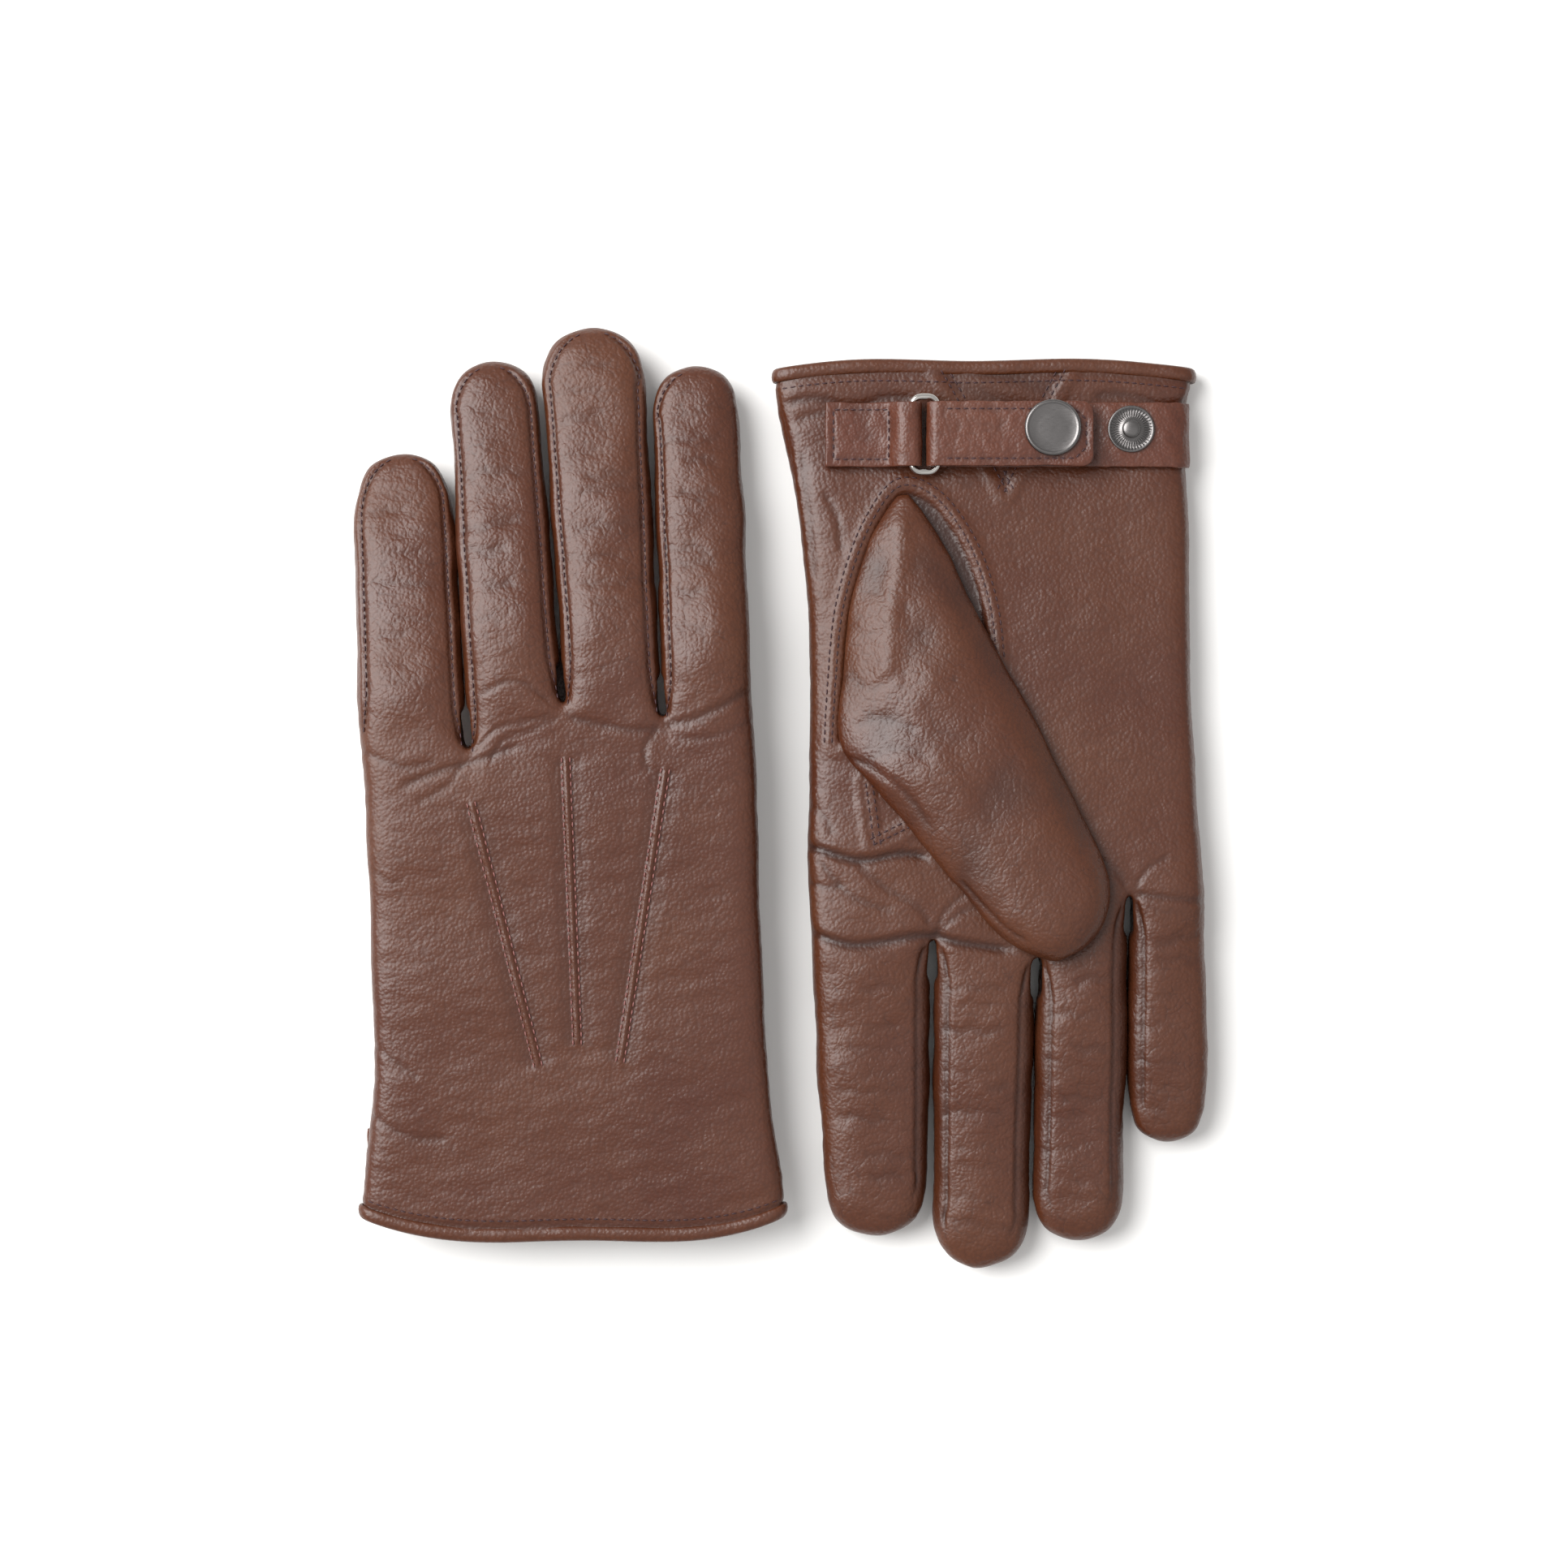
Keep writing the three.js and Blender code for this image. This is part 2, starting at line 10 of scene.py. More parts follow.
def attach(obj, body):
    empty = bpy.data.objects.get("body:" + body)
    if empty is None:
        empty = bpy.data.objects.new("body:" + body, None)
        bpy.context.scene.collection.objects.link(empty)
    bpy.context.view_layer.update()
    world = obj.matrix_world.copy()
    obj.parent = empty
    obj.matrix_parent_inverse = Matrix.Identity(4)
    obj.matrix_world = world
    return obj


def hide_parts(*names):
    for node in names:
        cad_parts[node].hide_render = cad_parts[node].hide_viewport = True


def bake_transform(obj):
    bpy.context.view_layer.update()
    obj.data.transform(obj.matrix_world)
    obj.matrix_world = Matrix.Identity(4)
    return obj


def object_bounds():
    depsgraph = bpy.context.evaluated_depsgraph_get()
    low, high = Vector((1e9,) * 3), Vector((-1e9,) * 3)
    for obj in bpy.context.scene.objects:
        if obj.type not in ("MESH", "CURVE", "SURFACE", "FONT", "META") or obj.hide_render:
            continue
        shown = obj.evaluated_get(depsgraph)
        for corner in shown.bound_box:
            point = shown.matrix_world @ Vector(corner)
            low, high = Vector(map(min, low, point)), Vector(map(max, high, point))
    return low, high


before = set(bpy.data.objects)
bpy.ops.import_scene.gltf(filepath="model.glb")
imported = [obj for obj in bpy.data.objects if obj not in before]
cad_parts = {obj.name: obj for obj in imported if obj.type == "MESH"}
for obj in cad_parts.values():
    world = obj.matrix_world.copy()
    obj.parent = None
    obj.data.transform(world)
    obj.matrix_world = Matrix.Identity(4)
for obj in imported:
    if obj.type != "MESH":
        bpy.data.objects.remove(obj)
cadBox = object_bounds()
mm = 0.001

# The two gloves.

wall = {"lining": 1.4, "gap": 0.3}
thick = {"cuff": 10.0, "knuckle": 15.0, "knuckleY": 155.0, "tipTaper": 3.0}
fingerNames = ("little", "ring", "middle", "index")  # from -x to +x
leftGlove = {
    "side": "left",
    "cuff": (-56.8, -117.2),
    "littleSide": [
        (0, -57.4), (8, -56.6), (41, -53.0), (75, -54.2), (114, -55.6), (136, -56.8), (175, -58.2),
    ],
    "indexSide": [
        (0, 58.2), (8, 57.4), (30, 54.6), (54, 52.5), (92, 50.7), (122, 50.4), (145, 48.4), (175, 47.5),
    ],
    "crotches": [(-27.6, 130.5), (-2.0, 143.0), (24.6, 139.5)],
    "fingers": {
        "index": {"x": 36.1, "y": 155, "lean": 2.7, "length": 78, "base": 23.0, "tip": 24.4},
        "middle": {"x": 10.2, "y": 161, "lean": 3.4, "length": 83, "base": 26.4, "tip": 28.8},
        "ring": {"x": -16.4, "y": 161, "lean": 4.6, "length": 73.5, "base": 25.2, "tip": 24.2},
        "little": {"x": -42.8, "y": 143, "lean": 2.9, "length": 67, "base": 28.0, "tip": 26.0},
    },
    "thumbTip": (-13.5, 146.0),
}
rightGlove = {
    "side": "right",
    "cuff": (54.9, 117.8),
    "littleSide": [
        (0, -57.5), (6, -56.0), (11, -54.4), (33, -54.5), (44, -55.6),
        (77, -55.8), (110, -57.3), (143, -59.3), (175, -60),
    ],
    "indexSide": [
        (0, 57.8), (8, 57.0), (18, 54.8), (42, 50.6), (68, 47.8),
        (99, 47.6), (132, 48.4), (154, 47.2), (175, 45.8),
    ],
    "crotches": [(-38.8, 143.5), (-13.8, 160.5), (14.3, 155.5)],
    "fingers": {
        "index": {"x": 30.8, "y": 155, "lean": 1.6, "length": 81, "base": 31.8, "tip": 28.4},
        "middle": {"x": 0.1, "y": 161, "lean": -1.3, "length": 84, "base": 27.2, "tip": 26.6},
        "ring": {"x": -26.3, "y": 161, "lean": -0.9, "length": 76, "base": 24.0, "tip": 24.6},
        "little": {"x": -49.4, "y": 143, "lean": 0, "length": 68, "base": 20.4, "tip": 21.0},
    },
    "thumbTip": (-21.5, 148.0),
}
thumbSize = {
    "thick": 9.0,
    "tipRadius": 11.4,
    "hingeInner": (-7.7, 85.3),
    "hingeOuter": (40.4, 104.5),
    "bend": 9.0,
}
strapSize = {"y": 19.3, "width": 17.4, "thick": 1.6, "loopGap": 3.0, "snapY": 17.8, "cap": 1.7}


def palmHeight(y):
    return thick["cuff"] + (thick["knuckle"] - thick["cuff"]) * y / thick["knuckleY"]


def strapHeights():
    floor = palmHeight(strapSize["y"] + strapSize["width"] / 2) + wall["gap"]
    bar = floor + strapSize["thick"] + strapSize["loopGap"] / 2
    tail = floor + strapSize["thick"] + strapSize["loopGap"]
    return floor, bar, tail


def placeGloves():
    # The right glove lies on its back; the left one rests on its thumb and snap, its fingers drooping.
    tip = leftGlove["thumbTip"][1] + 0.6 * thumbSize["tipRadius"]
    thumbTop = palmHeight(tip) + wall["gap"] + thumbSize["thick"]
    capTop = strapHeights()[2] + strapSize["thick"] + wall["gap"] + strapSize["cap"]
    pitch = math.atan2(thumbTop - capTop, tip - strapSize["snapY"])
    height = thumbTop * math.cos(pitch) - tip * math.sin(pitch)
    x, y = leftGlove["cuff"]
    flip = Matrix.Diagonal((1, 1, -1, 1))
    leftGlove["place"] = Matrix.Translation((x, y, height)) @ flip @ Matrix.Rotation(-pitch, 4, "X")
    x, y = rightGlove["cuff"]
    rightGlove["place"] = Matrix.Translation((x, y, 0)) @ Matrix.Rotation(math.pi, 4, "Z")
    for finger in leftGlove["fingers"].values():
        y = finger["y"]
        above = height - (palmHeight(y) * math.cos(pitch) - y * math.sin(pitch))
        finger["droop"] = pitch + math.asin((above + thick["tipTaper"] - 1.4) / finger["length"])
    for finger in rightGlove["fingers"].values():
        finger["droop"] = 0.0


placeGloves()
meters = Matrix.Scale(mm, 4)


# Shared mesh work.


def newObject(name, mesh):
    obj = bpy.data.objects.new(name, mesh)
    bpy.context.scene.collection.objects.link(obj)
    return obj


def meshFrom(bm, name):
    mesh = bpy.data.meshes.new(name)
    bm.to_mesh(mesh)
    bm.free()
    return mesh


def applied(obj):
    # The object's mesh with its modifiers applied; the object goes.
    result = bpy.data.meshes.new_from_object(obj.evaluated_get(bpy.context.evaluated_depsgraph_get()))
    bpy.data.objects.remove(obj)
    return result


def smoothed(mesh, levels):
    # The mesh with a Subdivision Surface applied.
    obj = newObject("cage", mesh)
    finer = obj.modifiers.new("subdivision", "SUBSURF")
    finer.levels = finer.render_levels = levels
    finer.boundary_smooth = "ALL"
    return applied(obj)


def readVectors(mesh, name):
    values = np.empty(len(mesh.vertices) * 3)
    mesh.vertices.foreach_get(name, values)
    return values.reshape(-1, 3)


def readPoints(mesh):
    return readVectors(mesh, "co")


def readNormals(mesh):
    return readVectors(mesh, "normal")


def writePoints(mesh, points):
    mesh.vertices.foreach_set("co", points.ravel())
    mesh.update()


def writeReliefShading(mesh, values):
    # How far in the leather is pressed at each point, read by its material as painted shade where it is
    # pressed in and painted highlight where it stands up.
    reliefShading = mesh.attributes.new("reliefShading", "FLOAT", "POINT")
    reliefShading.data.foreach_set("value", np.clip(0.5 + values, 0, 1))


def treeOf(mesh):
    return BVHTree.FromPolygons(readPoints(mesh).tolist(), [f.vertices[:] for f in mesh.polygons])


def ease(t):
    t = np.clip(t, 0, 1)
    return t * t * (3 - 2 * t)


def toLine(points, line):
    # Each point's distance in plan to a polyline, and how far along it the nearest place is, from 0 to 1.
    line = np.array(line, float)
    steps = np.linalg.norm(np.diff(line, axis=0), axis=1)
    along = np.concatenate([[0], np.cumsum(steps)])
    nearest = np.full(len(points), 1e9)
    place = np.zeros(len(points))
    for i, length in enumerate(steps):
        way = (line[i + 1] - line[i]) / length
        offset = points[:, :2] - line[i]
        t = np.clip(offset @ way, 0, length)
        distance = np.linalg.norm(offset - t[:, None] * way, axis=1)
        closer = distance < nearest
        nearest[closer] = distance[closer]
        place[closer] = (along[i] + t[closer]) / along[-1]
    return nearest, place


def curve(points, count):
    # A smooth line through a few points (Catmull-Rom), as count places evenly spaced.
    p = np.array([points[0], *points, points[-1]], float)
    rows = []
    for a, b, c, d in zip(p, p[1:], p[2:], p[3:]):
        t = np.linspace(0, 1, 16, endpoint=False)[:, None]
        square = (2 * a - 5 * b + 4 * c - d) * t**2
        rows.append(0.5 * (2 * b + (c - a) * t + square + (3 * b - a - 3 * c + d) * t**3))
    dense = np.vstack([*rows, p[-1:]])
    steps = np.concatenate([[0], np.cumsum(np.linalg.norm(np.diff(dense, axis=0), axis=1))])
    want = np.linspace(0, steps[-1], count)
    return np.column_stack([np.interp(want, steps, dense[:, k]) for k in range(dense.shape[1])])


def swell(points, size, seed):
    # Smooth noise from a few random waves; its wavelength is size.
    draw = np.random.default_rng(seed)
    total = np.zeros(len(points))
    for _ in range(14):
        way = draw.normal(size=3)
        way /= np.linalg.norm(way)
        length = size * draw.uniform(0.7, 1.6)
        total += np.sin(points @ way * (2 * math.pi / length) + draw.uniform(0, 2 * math.pi))
    return total / 14**0.5


# The outer leather: one cage for the hand and its fingers, split where the fingers start.

cage = {
    "perFinger": 6,  # columns of quads
    "handRows": 20,
    "fingerRows": 11,
    "levels": 3,
    "crown": 5.0,  # how far the hand runs on under a finger's middle
    "firstRing": 2.4,
    "tip": 0.52,  # length of the rounded tip, as a share of its width
    "tipRings": 4,
    "slit": 0.05,  # half the gap at a crotch
    "fuller": (1.065, 1.03),  # base and tip; makes up for what subdivision takes
}


def pushOut(bm, faces, way, keep=False):
    # Extrudes faces along way and returns the moved faces and vertices.
    made = bmesh.ops.extrude_face_region(bm, geom=faces)["geom"]
    moved = [v for v in made if isinstance(v, bmesh.types.BMVert)]
    bmesh.ops.translate(bm, verts=moved, vec=way)
    if not keep:
        bmesh.ops.delete(bm, geom=[f for f in faces if f.is_valid], context="FACES")
    return [f for f in made if isinstance(f, bmesh.types.BMFace)], moved


def gloveCage():
    # A slab with a column of quads for each finger, and each column's end drawn out into a finger.
    per, rows = cage["perFinger"], cage["handRows"]
    bm = bmesh.new()
    finger = bm.verts.layers.int.new("finger")
    bmesh.ops.create_grid(bm, x_segments=4 * per, y_segments=rows, size=1)
    bmesh.ops.transform(bm, verts=bm.verts[:], matrix=Matrix.Diagonal((2 * per, rows / 2, 1, 1)))
    bmesh.ops.translate(bm, verts=bm.verts[:], vec=(2 * per, rows / 2, 0))
    palm, _ = pushOut(bm, bm.faces[:], (0, 0, 1), keep=True)
    pushOut(bm, palm, (0, 0, 1))
    cuffEnd = [f for f in bm.faces if abs(f.calc_center_median().y) < 0.01]
    bmesh.ops.delete(bm, geom=cuffEnd, context="FACES")
    for column in range(4):
        ends = []
        for face in bm.faces:
            middle = face.calc_center_median()
            if abs(middle.y - rows) < 0.01 and column * per < middle.x < (column + 1) * per:
                ends.append(face)
        for _ in range(cage["fingerRows"] + cage["tipRings"]):
            ends, moved = pushOut(bm, ends, (0, 1, 0))
            for vert in moved:
                vert[finger] = column + 1
    return bm, finger


def sideAt(stations, y):
    return float(np.interp(y, [s[0] for s in stations], [s[1] for s in stations]))


def shapeHand(glove, i, j, k):
    # Cage position of a hand vertex: i across, j along, k from back to palm.
    per, rows = cage["perFinger"], cage["handRows"]
    ends = [(sideAt(glove["littleSide"], 140), glove["crotches"][0][1] + 5)]
    ends += glove["crotches"]
    ends += [(sideAt(glove["indexSide"], 145), glove["crotches"][2][1] + 5)]
    column, step = min(int(i // per), 3), (i - per * min(int(i // per), 3)) / per
    (xa, ya), (xb, yb) = ends[column], ends[column + 1]
    top = ya + (yb - ya) * step + cage["crown"] * math.sin(math.pi * step)
    endX = xa + (xb - xa) * step
    low, high = ends[0][0], ends[-1][0]
    y = top * j / rows
    left, right = sideAt(glove["littleSide"], y), sideAt(glove["indexSide"], y)
    share = (endX - low) / (high - low)
    across = 2 * share - 1
    outer = i in (0, 4 * per)
    x = (left + right) / 2 + across * (right - left) / 2 * (0.985 if outer and k != 1 else 1)
    deep = palmHeight(y)
    crown = 0.76 if outer else 1.0
    if i in (per, 2 * per, 3 * per):
        crown = 1 - 0.14 * max(0, (j - rows + 2) / 2)
    if i in (1, 4 * per - 1):
        crown = 0.955
    return x, y, deep / 2 + (k - 1) * deep / 2 * crown


def fingerEnds(glove, name):
    # Where a finger starts on its little side and its index side: (x, y), and whether that side is a crotch.
    column = fingerNames.index(name)
    crotches = glove["crotches"]
    if column == 0:
        y = crotches[0][1] + 5
        return (sideAt(glove["littleSide"], y), y, False), (*crotches[0], True)
    if column == 3:
        y = crotches[2][1] + 5
        return (*crotches[2], True), (sideAt(glove["indexSide"], y), y, False)
    return (*crotches[column - 1], True), (*crotches[column], True)


def onFinger(size, d, across):
    # The place at a distance from a finger's base, and across it towards the index side.
    lean = math.radians(size["lean"])
    x = size["x"] - d * math.sin(lean) + across * math.cos(lean)
    return x, size["y"] + d * math.cos(lean) + across * math.sin(lean)


def plainSide(glove, name, way, d):
    # Where one side of a finger would run if nothing stood beside it.
    size = glove["fingers"][name]
    return onFinger(size, d, way * fingerHalf(size, d) * cage["fuller"][0])


def sideShift(glove, name, way, d):
    # How far a side moves over: to its crotch at the base, and clear of the next finger above that.
    size = glove["fingers"][name]
    sideX, sideY, isCrotch = fingerEnds(glove, name)[(way + 1) // 2]
    base = sideY - size["y"]
    wanted = sideX - way * (cage["slit"] if isCrotch else 0)
    first = base + cage["firstRing"]
    t = np.clip((d - first) / (size["length"] - cage["tip"] * size["tip"] - first), 0, 1)
    fade = (1 - t) ** 2
    shift = (wanted - plainSide(glove, name, way, base)[0]) * fade
    if isCrotch:
        other = fingerNames[fingerNames.index(name) + way]
        x, y = plainSide(glove, name, way, d)
        near = (y - glove["fingers"][other]["y"]) / math.cos(math.radians(glove["fingers"][other]["lean"]))
        over = way * (x - plainSide(glove, other, -way, near)[0]) / 2 + cage["slit"]
        shift = shift - way * np.maximum(over, 0) * (1 - fade)
    return shift


def shapeFinger(glove, name, i, j, k):
    # Cage position of a finger vertex, in the glove's frame with the finger straight.
    per, rows, along = cage["perFinger"], cage["handRows"], cage["fingerRows"]
    size = glove["fingers"][name]
    s = 2 * (i - per * fingerNames.index(name)) / per - 1
    ring = j - rows  # 1 is the first
    length = size["length"]
    sideEnds = fingerEnds(glove, name)
    share = (s + 1) / 2
    first = sideEnds[0][1] * (1 - share) + sideEnds[1][1] * share + cage["crown"] * math.sin(math.pi * share)
    first += cage["firstRing"] - size["y"]
    tipStart = length - cage["tip"] * size["tip"]
    ends = [(tipStart, 1, 1), (length - 0.21 * size["tip"], 0.88, 0.94)]
    ends += [(length - 1.6, 0.62, 0.74), (length, 0.28, 0.4)]  # distance, then shares of width and height
    t = min((ring - 1) / along, 1)
    if ring <= along:
        d, wide, tall = first + (tipStart - first) * t, 1.0, 1.0
    else:
        d, wide, tall = ends[ring - along - 1]
        d -= 0.022 * size["tip"] * s * s * (ring - along) / len(ends)
    fuller = cage["fuller"][0] + (cage["fuller"][1] - cage["fuller"][0]) * t
    half = float(fingerHalf(size, d)) * wide * fuller + 0.1
    edge = abs(s) > 0.99
    x, y = onFinger(size, d, s * half * (0.95 if edge and k != 1 else 1))
    x += float(sideShift(glove, name, -1 if s < 0 else 1, d)) * abs(s)
    deep = palmHeight(min(y, size["y"])) - thick["tipTaper"] * min(max(d / length, 0), 1)
    crown = 1.05 - 0.35 * abs(s) ** 3.2
    return x, y, deep / 2 + (k - 1) * deep / 2 * crown * tall


def makeGloveMesh(glove):
    bm, finger = gloveCage()
    for vert in bm.verts:
        i, j, k = (round(c) for c in vert.co)
        column = vert[finger]
        place = shapeFinger(glove, fingerNames[column - 1], i, j, k) if column else shapeHand(glove, i, j, k)
        vert.co = place
    for face in bm.faces:
        face.material_index = max(v[finger] for v in face.verts)
        face.smooth = True
    bmesh.ops.recalc_face_normals(bm, faces=bm.faces[:])
    mesh = meshFrom(bm, "glove")
    return smoothed(mesh, cage["levels"])


# Seams and creases, as lines in the glove's frame.

thumbSeam = [(40.2, 103.0), (39.4, 88.0), (37.6, 68.2), (33.6, 52.8), (28.6, 41.6), (22.6, 34.2)]
thumbSeam += [(15.4, 36.4), (9.4, 43.0), (4.1, 52.8), (0.1, 66.0), (-1.6, 80.0)]  # round the thumb's opening
ventSeam = [(12.9, 2.0), (6.0, 14.0), (-5.4, 35.4), (-16.0, 14.0), (-22.6, 2.0)]
quirkSeam = [(33.0, 113.0), (30.6, 130.6), (16.0, 123.4)]
backPoints = [[(-26.6, 117.0), (-8.6, 45.2)], [(-1.2, 129.0), (1.8, 51.0)], [(25.6, 126.0), (13.2, 46.4)]]

hem = {"height": 3.3, "thick": 0.95, "set": -0.55, "stitchRow": 5.2}
# How much higher the cuff's two corners lie than its middle, and the middle.
leftGlove["cuffLift"] = (5.0, -1.0)
rightGlove["cuffLift"] = (1.4, -0.6)

# side of the glove, depth, width, then the points
leftGlove["creases"] = [
    ("back", 0.47, 0.94, [(-47, 120), (-36, 124.5), (-24, 128), (-12, 132.5)]),
    ("back", 0.32, 0.79, [(-57, 131), (-45, 126), (-35, 128)]),
    ("back", 0.42, 1.01, [(-2, 140), (7, 137.6), (17, 136), (26, 136.5)]),
    ("back", 0.47, 1.08, [(24, 137), (35, 139.5), (49, 147)]),
    ("back", 0.32, 0.72, [(27, 134), (38, 134), (50, 139)]),
    ("back", 0.32, 0.72, [(-26, 144), (-15, 149), (-4, 142.5)]),
    ("back", 0.32, 0.72, [(-27, 129), (-20, 136), (-13, 138), (-4, 140)]),
    ("back", 0.29, 0.72, [(-2, 140), (-10, 136), (-18, 133), (-22, 126)]),
    ("back", 0.32, 0.86, [(24, 137), (20, 131), (21, 124)]),
    ("back", 0.26, 0.86, [(-28, 128), (-33, 121), (-42, 116)]),
    ("back", 0.26, 0.86, [(-54, 52), (-46, 46), (-40, 42)]),
    ("back", 0.32, 0.94, [(-56, 34), (-44, 27), (-32, 26)]),
    ("back", 0.21, 0.94, [(-54, 99), (-48, 95), (-44, 96)]),
]
rightGlove["creases"] = [
    ("palm", 1.16, 1.08, [(51, 130), (44.8, 131.4), (34, 134.2), (22, 132.4), (14, 134)]),
    ("palm", 0.95, 1.22, [(50, 152.5), (36, 157), (17, 154.6), (6, 156.6), (-10, 158.6)]),
    ("palm", 0.47, 0.86, [(50, 139), (44, 141.4), (38, 141)]),
    ("palm", 0.42, 0.86, [(36, 134), (28, 141), (18, 147), (14, 154)]),
    ("palm", 0.42, 0.86, [(46, 133), (36, 144), (24, 148)]),
    ("palm", 0.37, 0.86, [(14, 155), (8, 149), (0, 146)]),
    ("palm", 0.37, 0.72, [(14, 155), (11, 148), (4, 142)]),
    ("palm", 0.53, 1.01, [(-39, 143), (-50, 144.4), (-62, 145.6)]),
    ("palm", 0.37, 0.79, [(-38, 142), (-35, 137), (-30, 134)]),
    ("palm", 0.32, 0.72, [(-40, 142), (-44, 136), (-50, 133)]),
    ("palm", 0.63, 1.15, [(56, 10), (46, 9), (36, 12), (26, 9.5), (17, 10)]),
    ("palm", 0.42, 0.94, [(52, 15), (44, 13.4), (36, 15)]),
    ("palm", 0.53, 1.15, [(-57, 8), (-48, 10.4), (-38, 8.6), (-28, 9.5)]),
    ("palm", 0.32, 1.01, [(50, 118), (44, 122), (41, 128)]),
    ("palm", 0.32, 1.01, [(44, 34), (40, 42), (39, 52)]),
    ("palm", 0.37, 1.30, [(50, 22), (48, 40), (46, 60)]),
]
fingerCreases = {"every": 7.5, "depth": 0.22, "width": 0.9, "seed": 7}
crotchSlit = {"depth": 1.3, "width": 0.75, "before": 1.0, "after": 12}
crotchWays = {"left": (-0.073, -0.106, -0.056), "right": (0.01, 0.02, 0.0)}  # x for each y


def fingerFrame(glove, name, points):
    # Distance along the finger from its base, and offset towards the index side.
    size = glove["fingers"][name]
    lean = math.radians(size["lean"])
    offset = points[:, :2] - np.array((size["x"], size["y"]))
    return offset @ (-math.sin(lean), math.cos(lean)), offset @ (math.cos(lean), math.sin(lean))


def fingerHalf(size, d):
    return (size["base"] + (size["tip"] - size["base"]) * np.clip(d / size["length"], 0, 1)) / 2


def pressLine(points, line, depth, width, mask, fade=0.12):
    # Depth of a soft groove along a line; its two ends run out.
    near, place = toLine(points, curve(line, 24))
    ends = ease(np.minimum(place, 1 - place) / fade)
    return depth * np.exp(-((near / width) ** 2)) * ends * mask


def fingerLine(glove, name, way, inset, end=0.85):
    # A line inside one edge of a finger, from its start up the side and round the tip.
    size = glove["fingers"][name]
    low = fingerEnds(glove, name)[(way + 1) // 2][1] - size["y"]
    rise = size["tip"] * 0.62
    places = []
    for d in np.linspace(low, size["length"] - rise, 20):
        half = float(fingerHalf(size, d))
        across = half - inset * (0.3 + 0.7 * float(ease((d - low) / 12)))
        places.append((d, across + way * float(sideShift(glove, name, way, d)) * across / half))
    for angle in np.linspace(0, end * math.pi / 2, 8)[1:]:
        across = (size["tip"] / 2 - inset) * math.cos(angle)
        places.append((size["length"] - rise + (rise - inset) * math.sin(angle), across))
    return [onFinger(size, d, way * across) for d, across in places]


def fingerSides(name):
    # The sides with a strip beside them, -1 towards the little finger, and those with a seam on the back.
    inner = {"little": [1], "ring": [-1, 1], "middle": [-1, 1], "index": [-1]}[name]
    return inner, inner + ([-1] if name == "little" else [])


seams = {"palmInset": 3.4, "backInset": 2.1}


def pressFingers(glove, points, palm, back):
    # Seams down both sides of each finger, and the small creases across it.
    depth = np.zeros(len(points))
    draw = np.random.default_rng(fingerCreases["seed"] + len(glove["side"]))
    for name in fingerNames:
        size = glove["fingers"][name]
        d, across = fingerFrame(glove, name, points)
        half = fingerHalf(size, d)
        inner, outer = fingerSides(name)
        length = size["length"]
        start = min(e[1] for e in fingerEnds(glove, name)) - size["y"]
        pick = np.flatnonzero((np.abs(across) < half + 1.5) & (d > start - 6))
        d, across, half, own = d[pick], across[pick], half[pick], points[pick]
        mine = np.zeros(len(pick))
        for way in inner:
            # On the palm the side strip shows beside the seam, a little lower.
            near, place = toLine(own, fingerLine(glove, name, way, seams["palmInset"], end=0.5))
            reach = ease(place / 0.06) * ease((1 - place) / 0.12)
            mine += palm[pick] * reach * 0.55 * np.exp(-((near / 0.6) ** 2))
            begin = fingerEnds(glove, name)[(way + 1) // 2][1] - size["y"]
            out = across * way - way * sideShift(glove, name, way, d) - half
            beyond = ease((out + seams["palmInset"]) / 1.0) * (out < 0.6) * ease((length - 8 - d) / 6)
            mine += palm[pick] * 0.3 * beyond * ease((d - begin - 2) / 8)
        for way in outer:
            # On the back the seam is a groove beside a raised edge.
            near, place = toLine(own, fingerLine(glove, name, way, seams["backInset"]))
            reach = ease((1 - place) / 0.06) * ease((place + 0.01) / 0.05)
            mine += back[pick] * reach * 0.5 * np.exp(-((near / 0.6) ** 2))
            near, place = toLine(own, fingerLine(glove, name, way, seams["backInset"] - 1.1))
            reach = ease((1 - place) / 0.06) * ease((place - 0.02) / 0.08)
            mine -= back[pick] * reach * 0.3 * np.exp(-((near / 0.7) ** 2))
        for n in range(int((length - 8) / fingerCreases["every"])):
            at = 6 + (n + draw.uniform(-0.3, 0.3)) * fingerCreases["every"]
            wide = draw.uniform(0.35, 0.95)
            middle = draw.uniform(-0.35, 0.35)
            wave = draw.uniform(-1.4, 1.4)
            strength = draw.uniform(0.4, 1.5)
            rise = wave * np.sin(across / half * 2.2 + n) + 0.5 * np.sin(across * 0.9 + n)
            line = np.abs(d - at - rise)
            span = ease((wide - np.abs(across / half - middle)) / 0.25)
            width = fingerCreases["width"] * (0.8 + 0.5 * strength)
            mine += span * strength * fingerCreases["depth"] * np.exp(-((line / width) ** 2))
        depth[pick] += mine
    return depth


